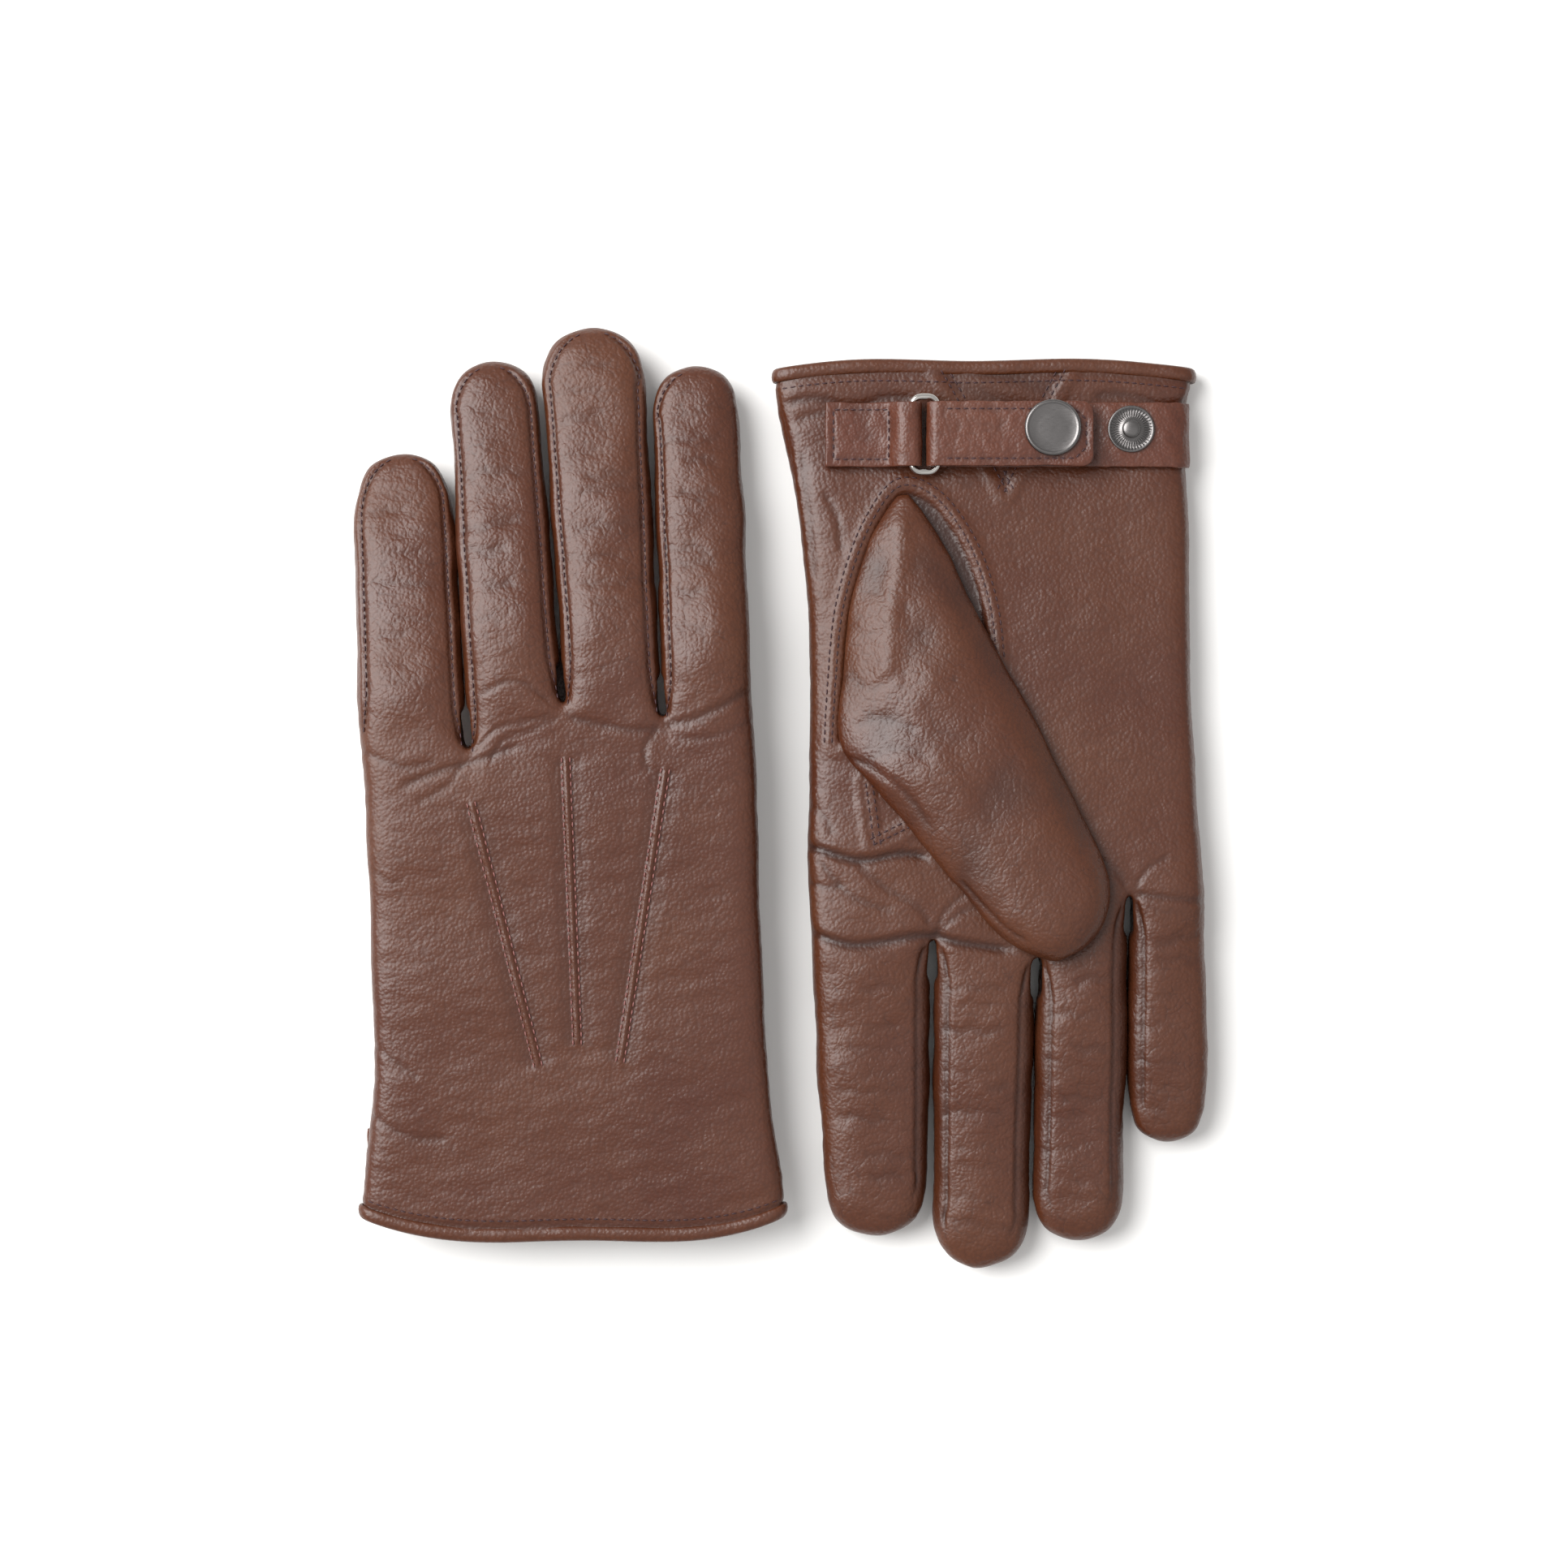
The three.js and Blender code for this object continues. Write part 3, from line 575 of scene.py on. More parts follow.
def pressGlove(glove, points, normals):
    # How far in each point of the leather moves, from every seam, crease and soft dip.
    palm = ease((normals[:, 2] + 0.1) / 0.5)
    back = ease((-normals[:, 2] + 0.1) / 0.5)
    depth = pressFingers(glove, points, palm, back)
    for side, deep, width, line in glove["creases"]:
        depth += pressLine(points, line, deep, width, palm if side == "palm" else back)
    # The slit between two fingers runs out to a point at the crotch.
    for (x, y), way in zip(glove["crotches"], crotchWays[glove["side"]]):
        after = crotchSlit["after"]
        near, place = toLine(points, [(x, y - crotchSlit["before"]), (x + way * after, y + after)])
        reach = ease(place / 0.3) * ease((1 - place) / 0.25)
        depth += crotchSlit["depth"] * reach * np.exp(-((near / crotchSlit["width"]) ** 2))
    # The thumb's opening: a folded edge that stands up round it, and a sunken pocket inside.
    seam = curve(thumbSeam, 60)
    near, place = toLine(points, seam)
    inside = insideOf(points, seam)
    band = np.where(inside, 0, 1) * np.exp(-((near - 2.2) / 1.9) ** 4)
    depth -= palm * band * 0.55
    depth += palm * 0.9 * ease(near / 1.2) * inside
    for row in (1.3, 3.3):
        depth += palm * np.where(inside, 0, 1) * 0.28 * np.exp(-(((near - row) / 0.5) ** 2))
    # The vent: two stitched edges with soft folded leather between them.
    near, place = toLine(points, ventSeam)
    inside = insideOf(points, np.array(ventSeam))
    depth -= palm * np.where(inside, 0, 1) * 0.28 * np.exp(-((near - 1.5) / 1.7) ** 4)
    ripple = 0.3 + 0.15 * np.sin(points[:, 1] * 0.9 + points[:, 0] * 0.3)
    depth += palm * inside * ripple * ease(near / 2.4)
    near, place = toLine(points, quirkSeam)
    depth -= palm * 0.35 * np.exp(-((near - 1.4) / 1.4) ** 4)
    # The three points on the back: a tuck between two rows of stitches.
    for line in backPoints:
        near, place = toLine(points, line)
        ends = ease(np.minimum(place, 1 - place) / 0.02)
        depth -= back * ends * 0.5 * np.exp(-((near / 0.75) ** 2))
        depth += back * ends * 0.3 * np.exp(-(((near - 1.25) / 0.5) ** 2))
        depth += back * ends * 0.18 * np.exp(-((near - 2.6) / 1.6) ** 2)
    # The hem's fold leaves a groove above it.
    depth += 0.45 * np.exp(-(((points[:, 1] - hem["height"]) / 0.8) ** 2))
    # The seams, creases and tucks so far are kept for the colour, as painted shade in their grooves and
    # painted highlight on their ridges.
    reliefShading = depth.copy()
    # The strap draws the wrist in, and worn leather over a knitted lining is softly uneven.
    depth += palm * 0.8 * np.exp(-(((points[:, 1] - strapSize["y"]) / 10) ** 4))
    nearFingers = ease((points[:, 1] - 118) / 30)
    depth += 0.3 * swell(points, 38, 3) + 0.14 * swell(points, 14, 4) * (0.4 + nearFingers)
    depth += 0.06 * swell(points * (0.6, 1.5, 1), 6.5, 5)
    return depth, reliefShading


def insideOf(points, outline):
    # True inside a closed plan outline.
    x, y = points[:, 0], points[:, 1]
    inside = np.zeros(len(points), bool)
    for (ax, ay), (bx, by) in zip(outline, np.roll(outline, -1, axis=0)):
        crosses = (ay > y) != (by > y)
        slope = (bx - ax) / (by - ay if by != ay else 1e-9)
        inside ^= crosses & (x < (y - ay) * slope + ax)
    return inside


# Materials.


def tone(hexCode):
    # An sRGB hex colour, turned to linear.
    parts = [int(hexCode[i : i + 2], 16) / 255 for i in (1, 3, 5)]
    return tuple(c / 12.92 if c <= 0.04045 else ((c + 0.055) / 1.055) ** 2.4 for c in parts) + (1.0,)


def addNode(material, kind, settings=None, **links):
    # One node with its settings; a link is a socket, anything else is a fixed value.
    tree = material.node_tree
    node = tree.nodes.new("ShaderNode" + kind)
    for key, value in (settings or {}).items():
        setattr(node, key, value)
    for key, value in links.items():
        numbered = key[0] == "i" and key[1:].isdigit()
        socket = node.inputs[int(key[1:]) if numbered else key.replace("_", " ")]
        if isinstance(value, bpy.types.NodeSocket):
            tree.links.new(value, socket)
        else:
            socket.default_value = value
    return node


def newMaterial(name):
    material = bpy.data.materials.new(name)
    material.use_nodes = True
    material.node_tree.nodes.clear()
    return material


def finishMaterial(material, shader):
    out = material.node_tree.nodes.new("ShaderNodeOutputMaterial")
    material.node_tree.links.new(shader.outputs[0], out.inputs["Surface"])
    return material


leather = {
    "dark": "#26100a",
    "middle": "#451f0f",
    "light": "#4f2812",
    "grain": 0.95,  # mm across one pebble; the real grain is about half that and too fine to show
    "crackle": 3.4,  # mm between the fine wrinkles of the flexed leather
    "roughness": 0.36,
}


def objectPlace(material):
    return addNode(material, "TexCoord").outputs["Object"]


def noise(material, where, size, detail, roughness=0.5):
    # The size of a patch is in millimetres.
    made = addNode(material, "TexNoise", Vector=where, Scale=1000 / size, Detail=detail, Roughness=roughness)
    return made.outputs[0]


def spread(material, value, fromLow, fromHigh, toLow=0.0, toHigh=1.0):
    ends = {"From_Min": fromLow, "From_Max": fromHigh, "To_Min": toLow, "To_Max": toHigh}
    return addNode(material, "MapRange", Value=value, **ends).outputs[0]


def mixed(material, share, first, second):
    return addNode(material, "Mix", {"data_type": "RGBA"}, i0=share, i6=first, i7=second).outputs[2]


def leatherMaterial(name, values, flexed):
    # Aniline-dyed sheepskin with a drum-softened grain: satin, with painted shade in its pressed-in seams and
    # creases and a painted highlight on its raised edges.
    material = newMaterial(name)
    dark, middle, light = (tone(values[key]) for key in ("dark", "middle", "light"))
    where = objectPlace(material)
    grain = addNode(
        material, "TexVoronoi", {"feature": "SMOOTH_F1"}, Vector=where,
        Scale=1000 / values["grain"], Smoothness=0.6,
    ).outputs["Distance"]
    warp = addNode(material, "TexNoise", Vector=where, Scale=1000 / 5, Detail=3.0)
    moved = addNode(
        material, "VectorMath", {"operation": "MULTIPLY_ADD"},
        i0=warp.outputs["Color"], i1=(0.004, 0.004, 0.004), i2=where,
    )
    crackle = addNode(
        material, "TexVoronoi", {"feature": "DISTANCE_TO_EDGE"},
        Vector=moved.outputs[0], Scale=1000 / values["crackle"],
    ).outputs["Distance"]
    soft = noise(material, where, 2.2, 4.0, 0.6)
    patches = noise(material, where, 45, 5.0, 0.55)
    reliefShading = addNode(material, "Attribute", {"attribute_name": "reliefShading"}).outputs["Fac"]
    colour = mixed(material, spread(material, patches, 0.3, 0.7), middle, light)
    # Painted shade: darker where the leather is pressed in; painted highlight: lighter where it stands up.
    colour = mixed(material, spread(material, reliefShading, 0.5, 1.0, 0.0, 0.85), colour, dark)
    colour = mixed(material, spread(material, reliefShading, 0.5, 0.1, 0.0, 0.5), colour, light)
    colour = mixed(material, spread(material, grain, 0.3, 0.8, 0.0, 0.22), colour, dark)
    if flexed:
        # Painted shade in the fine wrinkles, shown only in patches as fine dark lines.
        cracked = spread(material, warp.outputs[0], 0.5, 0.64)
        wrinkleShade = spread(material, crackle, 0.0, 0.05, 0.4, 0.0)
        shown = addNode(material, "Math", {"operation": "MULTIPLY"}, i0=wrinkleShade, i1=cracked)
        colour = mixed(material, shown.outputs[0], colour, dark)
    rough = spread(material, patches, 0.3, 0.7, values["roughness"] - 0.04, values["roughness"] + 0.08)
    lines = spread(material, crackle, 0.0, 0.12)
    wrinkles = addNode(material, "Bump", Height=lines, Strength=0.14 if flexed else 0.05, Distance=0.0003)
    lumps = addNode(
        material, "Bump", Height=soft, Normal=wrinkles.outputs[0], Strength=0.3, Distance=0.0004
    )
    pebbles = addNode(
        material, "Bump", {"invert": True},
        Height=grain, Normal=lumps.outputs[0], Strength=0.28, Distance=0.0004,
    )
    shader = addNode(
        material, "BsdfPrincipled", Base_Color=colour, Roughness=rough, Normal=pebbles.outputs[0], IOR=1.47
    )
    return finishMaterial(material, shader)


leatherFinish = leatherMaterial("drum-softened sheepskin", leather, False)
flexedFinish = leatherMaterial("flexed sheepskin", leather, True)


# The outer leather: pressed, drooped, placed, and split at the finger bases.

blendReach = 17.0  # mm over which the leather turns from the hand to a finger
liningClear = 15.0  # mm from there to the finger's lining


def droopFingers(glove, points):
    # Lowers each finger of the glove that lies palm down, about its own base.
    turned = np.zeros_like(points)
    total = np.zeros(len(points))
    for name in fingerNames:
        size = glove["fingers"][name]
        d, across = fingerFrame(glove, name, points)
        angle = size["droop"] * ease((d + 6) / 20)
        lean = math.radians(size["lean"])
        along = np.array((-math.sin(lean), math.cos(lean), 0))
        side = np.array((math.cos(lean), math.sin(lean), 0))
        height = points[:, 2] - palmHeight(size["y"])
        forward = d * np.cos(angle) - height * np.sin(angle)
        rise = d * np.sin(angle) + height * np.cos(angle) + palmHeight(size["y"])
        base = np.array((size["x"], size["y"], 0))
        moved = base + forward[:, None] * along + across[:, None] * side + rise[:, None] * (0, 0, 1)
        beyond = np.maximum(np.abs(across) - fingerHalf(size, d), -6)
        weight = np.exp(-beyond / 0.8)
        turned += moved * weight[:, None]
        total += weight
    return turned / total[:, None]


def waveCuff(glove, points):
    # The cuff's edge isn't straight: its corners lie higher and its middle lower, fading out up the hand.
    corner, middle = glove["cuffLift"]
    x = points[:, 0] / 57
    lift = middle + (corner - middle) * x**4 + 0.35 * np.sin(points[:, 0] * 0.11 + 1.2)
    moved = points.copy()
    moved[:, 1] += lift * (1 - ease(points[:, 1] / 32))
    return moved


def placed(glove, points):
    # From a glove's frame in millimetres to the shared frame in metres.
    matrix = np.array(meters @ glove["place"])
    return points @ matrix[:3, :3].T + matrix[:3, 3]


def finalPlace(glove, points):
    return placed(glove, waveCuff(glove, droopFingers(glove, points)))


def cuffRim(points):
    # The cuff's edge as an ordered loop of x and z, and its outward direction.
    edge = points[np.abs(points[:, 1]) < 0.02]
    middle = np.array(((edge[:, 0].max() + edge[:, 0].min()) / 2, (edge[:, 2].max() + edge[:, 2].min()) / 2))
    flat = edge[:, (0, 2)] - middle
    # Sorted by angle in a section stretched square, where the loop is star-shaped.
    loop = edge[np.argsort(np.arctan2(flat[:, 1] * 8, flat[:, 0]))][:, (0, 2)]
    ahead = np.roll(loop, -3, axis=0) - np.roll(loop, 3, axis=0)
    out = np.column_stack((ahead[:, 1], -ahead[:, 0]))
    return loop, out / np.linalg.norm(out, axis=1)[:, None]


trees, rims = {}, {}


def splitMesh(mesh, group):
    # One group of faces as its own mesh, with the whole glove's smooth normals; its open edges come back with
    # the groups beyond them.
    bm = bmesh.new()
    bm.from_mesh(mesh)
    keep = bm.verts.layers.float_vector.new("wholeNormal")
    for vert in bm.verts:
        vert[keep] = vert.normal
    owners = {e: {f.material_index for f in e.link_faces} - {group} for e in bm.edges}
    bmesh.ops.delete(bm, geom=[f for f in bm.faces if f.material_index != group], context="FACES")
    rim = {e: owners[e] for e in bm.edges if e.is_boundary}
    return bm, keep, rim


def closeHoles(bm, edges):
    caps = bmesh.ops.holes_fill(bm, edges=edges, sides=0)["faces"]
    bmesh.ops.poke(bm, faces=caps)


def finishSplit(bm, name):
    # The cut piece as an object with the whole glove's normals; the cut's own faces keep theirs.
    for face in bm.faces:
        face.material_index = 0
        face.smooth = True
    mesh = meshFrom(bm, name)
    normals = np.empty(len(mesh.vertices) * 3)
    mesh.attributes["wholeNormal"].data.foreach_get("vector", normals)
    normals = normals.reshape(-1, 3)
    blank = np.linalg.norm(normals, axis=1) < 0.5
    normals[blank] = readNormals(mesh)[blank]
    mesh.attributes.remove(mesh.attributes["wholeNormal"])
    mesh.normals_split_custom_set_from_vertices(normals.tolist())
    return newObject(name, mesh)


def cuffSection(glove, y, inset):
    # Half width, middle, low and high of the inside of the glove at y, set in by inset.
    left, right = sideAt(glove["littleSide"], y), sideAt(glove["indexSide"], y)
    return (right - left) / 2 - inset, (left + right) / 2, inset, palmHeight(y) - inset


# How the leather turns in at the cuff: distance up the hand, and how far inside the outer face.
rimSteps = [(-0.5, 0.7), (0.2, 1.3), (6, 1.8), (16, 2.5), (40, 2.6)]
rimSteps += [(70, 2.6), (100, 2.6), (118, 2.8), (124, 4.6)]


def turnInRim(bm, glove, inward, rim, keep):
    # The cuff's edge turned in, and the inner face of the leather run up into the hand.
    origin = [(v, inward @ v.co) for v in {v for e in rim for v in e.verts}]
    half, middle, low, high = cuffSection(glove, 0, 0)
    shape = {v: ((p.x - middle) / half, 2 * (p.z - low) / (high - low) - 1) for v, p in origin}
    edges = rim
    for y, inset in rimSteps:
        made = bmesh.ops.extrude_edge_only(bm, edges=edges)["geom"]
        edges = [e for e in made if isinstance(e, bmesh.types.BMEdge) and e.is_boundary]
        fresh = {}
        for v in {v for e in edges for v in e.verts}:
            partner = next(e.other_vert(v) for e in v.link_edges if not e.is_boundary)
            fresh[v] = shape[partner]
        half, middle, low, high = cuffSection(glove, max(y, 0), inset)
        for v, (across, up) in fresh.items():
            rise = low + (high - low) * (up + 1) / 2
            spot = np.array([(middle + across * half, y, rise)])
            v.co = placed(glove, waveCuff(glove, spot))[0]
            v[keep] = (0, 0, 0)
        shape = fresh
    closeHoles(bm, edges)


def makeLeather(glove):
    mesh = makeGloveMesh(glove)
    points, normals = readPoints(mesh), readNormals(mesh)
    depth, pressedShading = pressGlove(glove, points, normals)
    settle = ease(points[:, 1] / 3)  # the hem's edge stays even
    writePoints(mesh, points - normals * (depth * settle)[:, None])
    # The press depth goes to the colour as painted shade and painted highlight.
    writeReliefShading(mesh, pressedShading * settle * 0.5)
    flat = readPoints(mesh)
    trees[glove["side"]] = treeOf(mesh)
    rims[glove["side"]] = cuffRim(flat)
    writePoints(mesh, finalPlace(glove, flat))
    if glove["side"] == "left":
        mesh.flip_normals()
    side = glove["side"]
    inward = (meters @ glove["place"]).inverted()
    pieces = {}
    for group in range(5):
        name = f"{side}_hand_leather" if group == 0 else f"{side}_{fingerNames[group - 1]}_leather"
        bm, keep, rim = splitMesh(mesh, group)
        cuffEdges = [e for e in rim if all((inward @ v.co).y < 20 for v in e.verts)]
        # Each finger's opening is closed by itself, since two openings touch at a crotch.
        for others in {tuple(sorted(owners)) for e, owners in rim.items() if owners}:
            closeHoles(bm, [e for e, owners in rim.items() if tuple(sorted(owners)) == others])
        if cuffEdges:
            turnInRim(bm, glove, inward, cuffEdges, keep)
        pieces[group] = finishSplit(bm, name)
    return pieces


def bendStart(glove, name):
    crotches = [c[1] for c in glove["crotches"]]
    column = fingerNames.index(name)
    return max(crotches[max(0, column - 1) : column + 1]) + 5.5


def bindFinger(piece):
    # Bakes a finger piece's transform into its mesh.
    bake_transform(piece)


def giveFinish(piece, material):
    piece.data.materials.clear()
    piece.data.materials.append(material)


def layPiece(glove, name, mesh, place, material):
    # A mesh made in the glove's frame, laid in place as a finished piece; the left glove is mirrored.
    writePoints(mesh, place(glove, readPoints(mesh)))
    if glove["side"] == "left":
        mesh.flip_normals()
    mesh.name = name
    piece = newObject(name, mesh)
    giveFinish(piece, material)
    return piece


def fourchetteNodes(side, name):
    ways = {-1: "little", 1: "index"}
    return [f"{side}_{name}_fourchette_{ways[way]}_side" for way in fingerSides(name)[0]]


for glove in (leftGlove, rightGlove):
    side = glove["side"]
    pieces = makeLeather(glove)
    giveFinish(pieces[0], leatherFinish)
    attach(pieces[0], f"{side}_hand")
    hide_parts(f"{side}_trank")
    for group, name in enumerate(fingerNames, 1):
        giveFinish(pieces[group], flexedFinish)
        bindFinger(pieces[group])
        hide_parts(f"{side}_{name}_finger", *fourchetteNodes(side, name))
    print("outer leather made:", side)


# Thumb and its root: one folded piece of leather, sewn into the palm.

# Rows from the seam's top to the thumb's tip: inner fold, outer edge, and height in the middle.
thumbRows = [
    ((20.6, 35.4), (24.0, 35.9), 1.8),
    ((16.0, 41.6), (30.2, 44.8), 3.4),
    ((10.7, 49.5), (34.6, 55.4), 5.0),
    ((6.6, 57.5), (37.2, 67.3), 6.2),
    ((2.6, 65.8), (38.8, 80.6), 7.2),
    ((-2.4, 75.6), (39.9, 93.2), 8.1),
    ((-7.7, 85.3), (40.6, 104.6), 8.8),
    ((-12.8, 95.0), (34.4, 110.8), 9.3),
    ((-18.2, 105.2), (25.9, 119.8), 9.6),
    ((-23.4, 115.4), (17.6, 129.9), 9.6),
    ((-28.4, 125.5), (9.4, 140.1), 9.5),
    ((-32.2, 135.0), (2.0, 149.3), 9.4),
    ((-34.2, 144.5), (-4.6, 156.0), 9.0),
    ((-31.8, 152.2), (-11.0, 159.9), 8.2),
    ((-26.6, 157.6), (-18.2, 161.2), 6.2),
]
thumbHinge = 6  # the row on the hinge line
thumbColumns = {"count": 6, "rootOuter": (0.24, 0.62, 0.9), "edge": (0.52, 0.9, 1.0), "levels": 3}


def thumbShift(glove, row):
    # The left thumb lies a little nearer the index finger than the right one.
    share = max(0, row - thumbHinge) / (len(thumbRows) - 1 - thumbHinge)
    x, y = glove["thumbTip"]
    return (x - rightGlove["thumbTip"][0]) * share, (y - rightGlove["thumbTip"][1]) * share


def shapeThumb(glove, i, j, k):
    inner, outer, high = thumbRows[j]
    dx, dy = thumbShift(glove, j)
    s = 2 * i / thumbColumns["count"] - 1
    x = inner[0] + (outer[0] - inner[0]) * (s + 1) / 2 + dx
    y = inner[1] + (outer[1] - inner[1]) * (s + 1) / 2 + dy
    rank = round((1 - abs(s)) * thumbColumns["count"] / 2)
    rootSide = s > 0 and j <= thumbHinge
    rise = thumbColumns["rootOuter" if rootSide else "edge"][min(rank, 2)] if rank < 3 else 1.0
    if abs(s) == 1 and k != 1:
        x += (inner[0] - outer[0]) * s * 0.03
        y += (inner[1] - outer[1]) * s * 0.03
    floor = palmHeight(min(y, thick["knuckleY"])) + wall["gap"]
    sink = 1.4 if j <= thumbHinge else 0.0  # the root sits in the palm's opening
    return x, y, floor - sink + k / 2 * (high * rise + sink)


def makeThumb(glove):
    side = glove["side"]
    count, rows = thumbColumns["count"], len(thumbRows) - 1
    bm = bmesh.new()
    bmesh.ops.create_grid(bm, x_segments=count, y_segments=rows, size=1)
    bmesh.ops.transform(bm, verts=bm.verts[:], matrix=Matrix.Diagonal((count / 2, rows / 2, 1, 1)))
    bmesh.ops.translate(bm, verts=bm.verts[:], vec=(count / 2, rows / 2, 0))
    top, _ = pushOut(bm, bm.faces[:], (0, 0, 1), keep=True)
    pushOut(bm, top, (0, 0, 1))
    for vert in bm.verts:
        vert.co = shapeThumb(glove, *(round(c) for c in vert.co))
    for face in bm.faces:
        face.smooth = True
    bmesh.ops.recalc_face_normals(bm, faces=bm.faces[:])
    mesh = meshFrom(bm, f"{side}_thumb_leather")
    mesh = smoothed(mesh, thumbColumns["levels"])
    points, normals = readPoints(mesh), readNormals(mesh)
    up = ease((normals[:, 2] + 0.1) / 0.5)
    depth = 0.3 * swell(points, 24, 11) + 0.1 * swell(points, 7, 12)
    tip = np.array(thumbShift(glove, len(thumbRows) - 1))
    tipSeam = [(8.0, 139.0), (0.0, 147.4), (-6.0, 153.0), (-12.0, 156.4)]
    depth += pressLine(points - (*tip, 0), tipSeam, 0.5, 0.6, up)
    depth += pressLine(points, [(39.5, 106.5), (32, 108.6), (22, 116), (15, 126)], 0.5, 1.0, up)
    for line in thumbCreases:
        depth += pressLine(points, line, 0.35, 1.1, up)
    # A soft ridge runs down from the seam's top.
    depth -= 0.7 * up * pressLine(points, [(22.4, 38), (23.4, 52), (26, 70), (27, 88)], 1.0, 3.2, 1.0)
    writePoints(mesh, points - normals * depth[:, None])
    # Its dents, lumps and ridge go to the colour as painted shade and painted highlight.
    writeReliefShading(mesh, depth * 0.5)
    piece = layPiece(glove, f"{side}_thumb_leather", mesh, placed, flexedFinish)
    bindThumb(piece)
    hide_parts(f"{side}_thumb", f"{side}_thumb_root")


thumbCreases = [
    [(38, 70), (32, 74), (26, 71)],
    [(38, 84), (31, 88), (24, 84), (20, 86)],
    [(36, 98), (28, 96), (18, 100)],
    [(30, 60), (26, 66), (20, 66)],
    [(33, 108), (24, 104), (14, 108)],
]


def bindThumb(piece):
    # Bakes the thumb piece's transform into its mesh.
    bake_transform(piece)


# Cuff hem.


def makeHem(glove):
    # A turned strip of leather rolled over the cuff's edge.
    side = glove["side"]
    loop, out = rims[side]
    count = len(loop)
    bm = bmesh.new()
    bmesh.ops.create_grid(bm, x_segments=count, y_segments=12, size=0.5)
    for vert in bm.verts:
        n = round((vert.co.x + 0.5) * count) % count
        angle = 2 * math.pi * (vert.co.y + 0.5)
        grow = hem["set"] + hem["thick"] * math.cos(angle) + 0.1 * math.sin(n * 0.21)
        x, z = loop[n] + out[n] * grow
        vert.co = (x, hem["height"] / 2 - 0.4 + (hem["height"] / 2 + 0.3) * math.sin(angle), z)
    bmesh.ops.remove_doubles(bm, verts=bm.verts[:], dist=1e-4)
    bmesh.ops.recalc_face_normals(bm, faces=bm.faces[:])
    for face in bm.faces:
        face.smooth = True
    mesh = meshFrom(bm, f"{side}_cuff_hem")
    piece = layPiece(glove, mesh.name, mesh, finalPlace, leatherFinish)
    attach(piece, f"{side}_hand")
    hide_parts(f"{side}_cuff_binding", f"{side}_vent_gusset", f"{side}_thumb_quirk")


# Wrist strap, keeper and loop.

strap = {
    "bar": 13.0,
    "bars": 7.0,  # between the loop's two bars
    "wire": 1.8,
    "loop": 22.2,
    "corner": 3.6,
    "tailEnd": -28.8,
    "tailCorner": 3.0,
    "start": -54.0,
    "keeperEnd": 43.2,
    "edge": 0.35,
}


def ribbon(name, glove, path, thickness, endShape=None, across=8):
    # A flat strap whose middle follows a path in x and z, as wide as the strap, with softened edges.
    line = curve(path, max(24, int(len(path) * 5)))
    bm = bmesh.new()
    bmesh.ops.create_grid(bm, x_segments=len(line) - 1, y_segments=across, size=0.5)
    wave = np.random.default_rng(len(name))
    phase = wave.uniform(0, 6)
    for vert in bm.verts:
        n = round((vert.co.x + 0.5) * (len(line) - 1))
        x, z = line[n]
        half = strapSize["width"] / 2
        last = n / (len(line) - 1)
        if endShape:
            half = endShape(n, line, half)
        y = strapSize["y"] + vert.co.y * 2 * half + 0.12 * math.sin(x * 0.22 + phase) * last
        crown = 0.25 * (1 - (2 * vert.co.y) ** 4)
        vert.co = (x, y, z + crown)
    bmesh.ops.recalc_face_normals(bm, faces=bm.faces[:])
    mesh = meshFrom(bm, name)
    obj = newObject("strip", mesh)
    wallOf = obj.modifiers.new("wall", "SOLIDIFY")
    wallOf.thickness = thickness
    wallOf.offset = 0
    wallOf.use_even_offset = True
    soften = obj.modifiers.new("soften", "BEVEL")
    soften.width = strap["edge"]
    soften.segments = 3
    soften.angle_limit = math.radians(50)
    finer = obj.modifiers.new("subdivision", "SUBSURF")
    finer.levels = finer.render_levels = 1
    mesh = applied(obj)
    points, normals = readPoints(mesh), readNormals(mesh)
    depth = 0.1 * swell(points, 9, 21) + 0.06 * swell(points, 3.5, 22)
    for row in strapDents.get(name.split("_", 1)[1], []):
        near = toLine(points, row)[0] / rowDent["width"]
        depth += rowDent["depth"] * np.exp(-(near**2)) * (normals[:, 2] > 0.3)
    writePoints(mesh, points - normals * depth[:, None])
    # Its stitch dents and lumps go to the colour as painted shade and painted highlight.
    writeReliefShading(mesh, depth * 0.6)
    mesh.shade_smooth()
    trees[name] = treeOf(mesh)
    return layPiece(glove, name, mesh, placed, strapFinish)


def rowLines():
    # The stitch rows on the strap's tail and on the keeper, in plan.
    low, high = strapSize["y"] - strapSize["width"] / 2 + 2, strapSize["y"] + strapSize["width"] / 2 - 2
    end = strap["tailEnd"] + 2
    tail = [(11, high), (-4, high), (end + 3, high), (end, high - 3)]
    tail += [(end, low + 3), (end + 3, low), (-4, low), (11, low)]
    right = strap["keeperEnd"] - 2
    left = strap["keeperEnd"] - 17
    return tail, [(right, low), (right, high), (left, high), (left, low), (right, low)]


rowDent = {"depth": 0.22, "width": 0.7}
strapDents = {"tail_leather": [rowLines()[0]], "keeper_leather": [rowLines()[1]]}


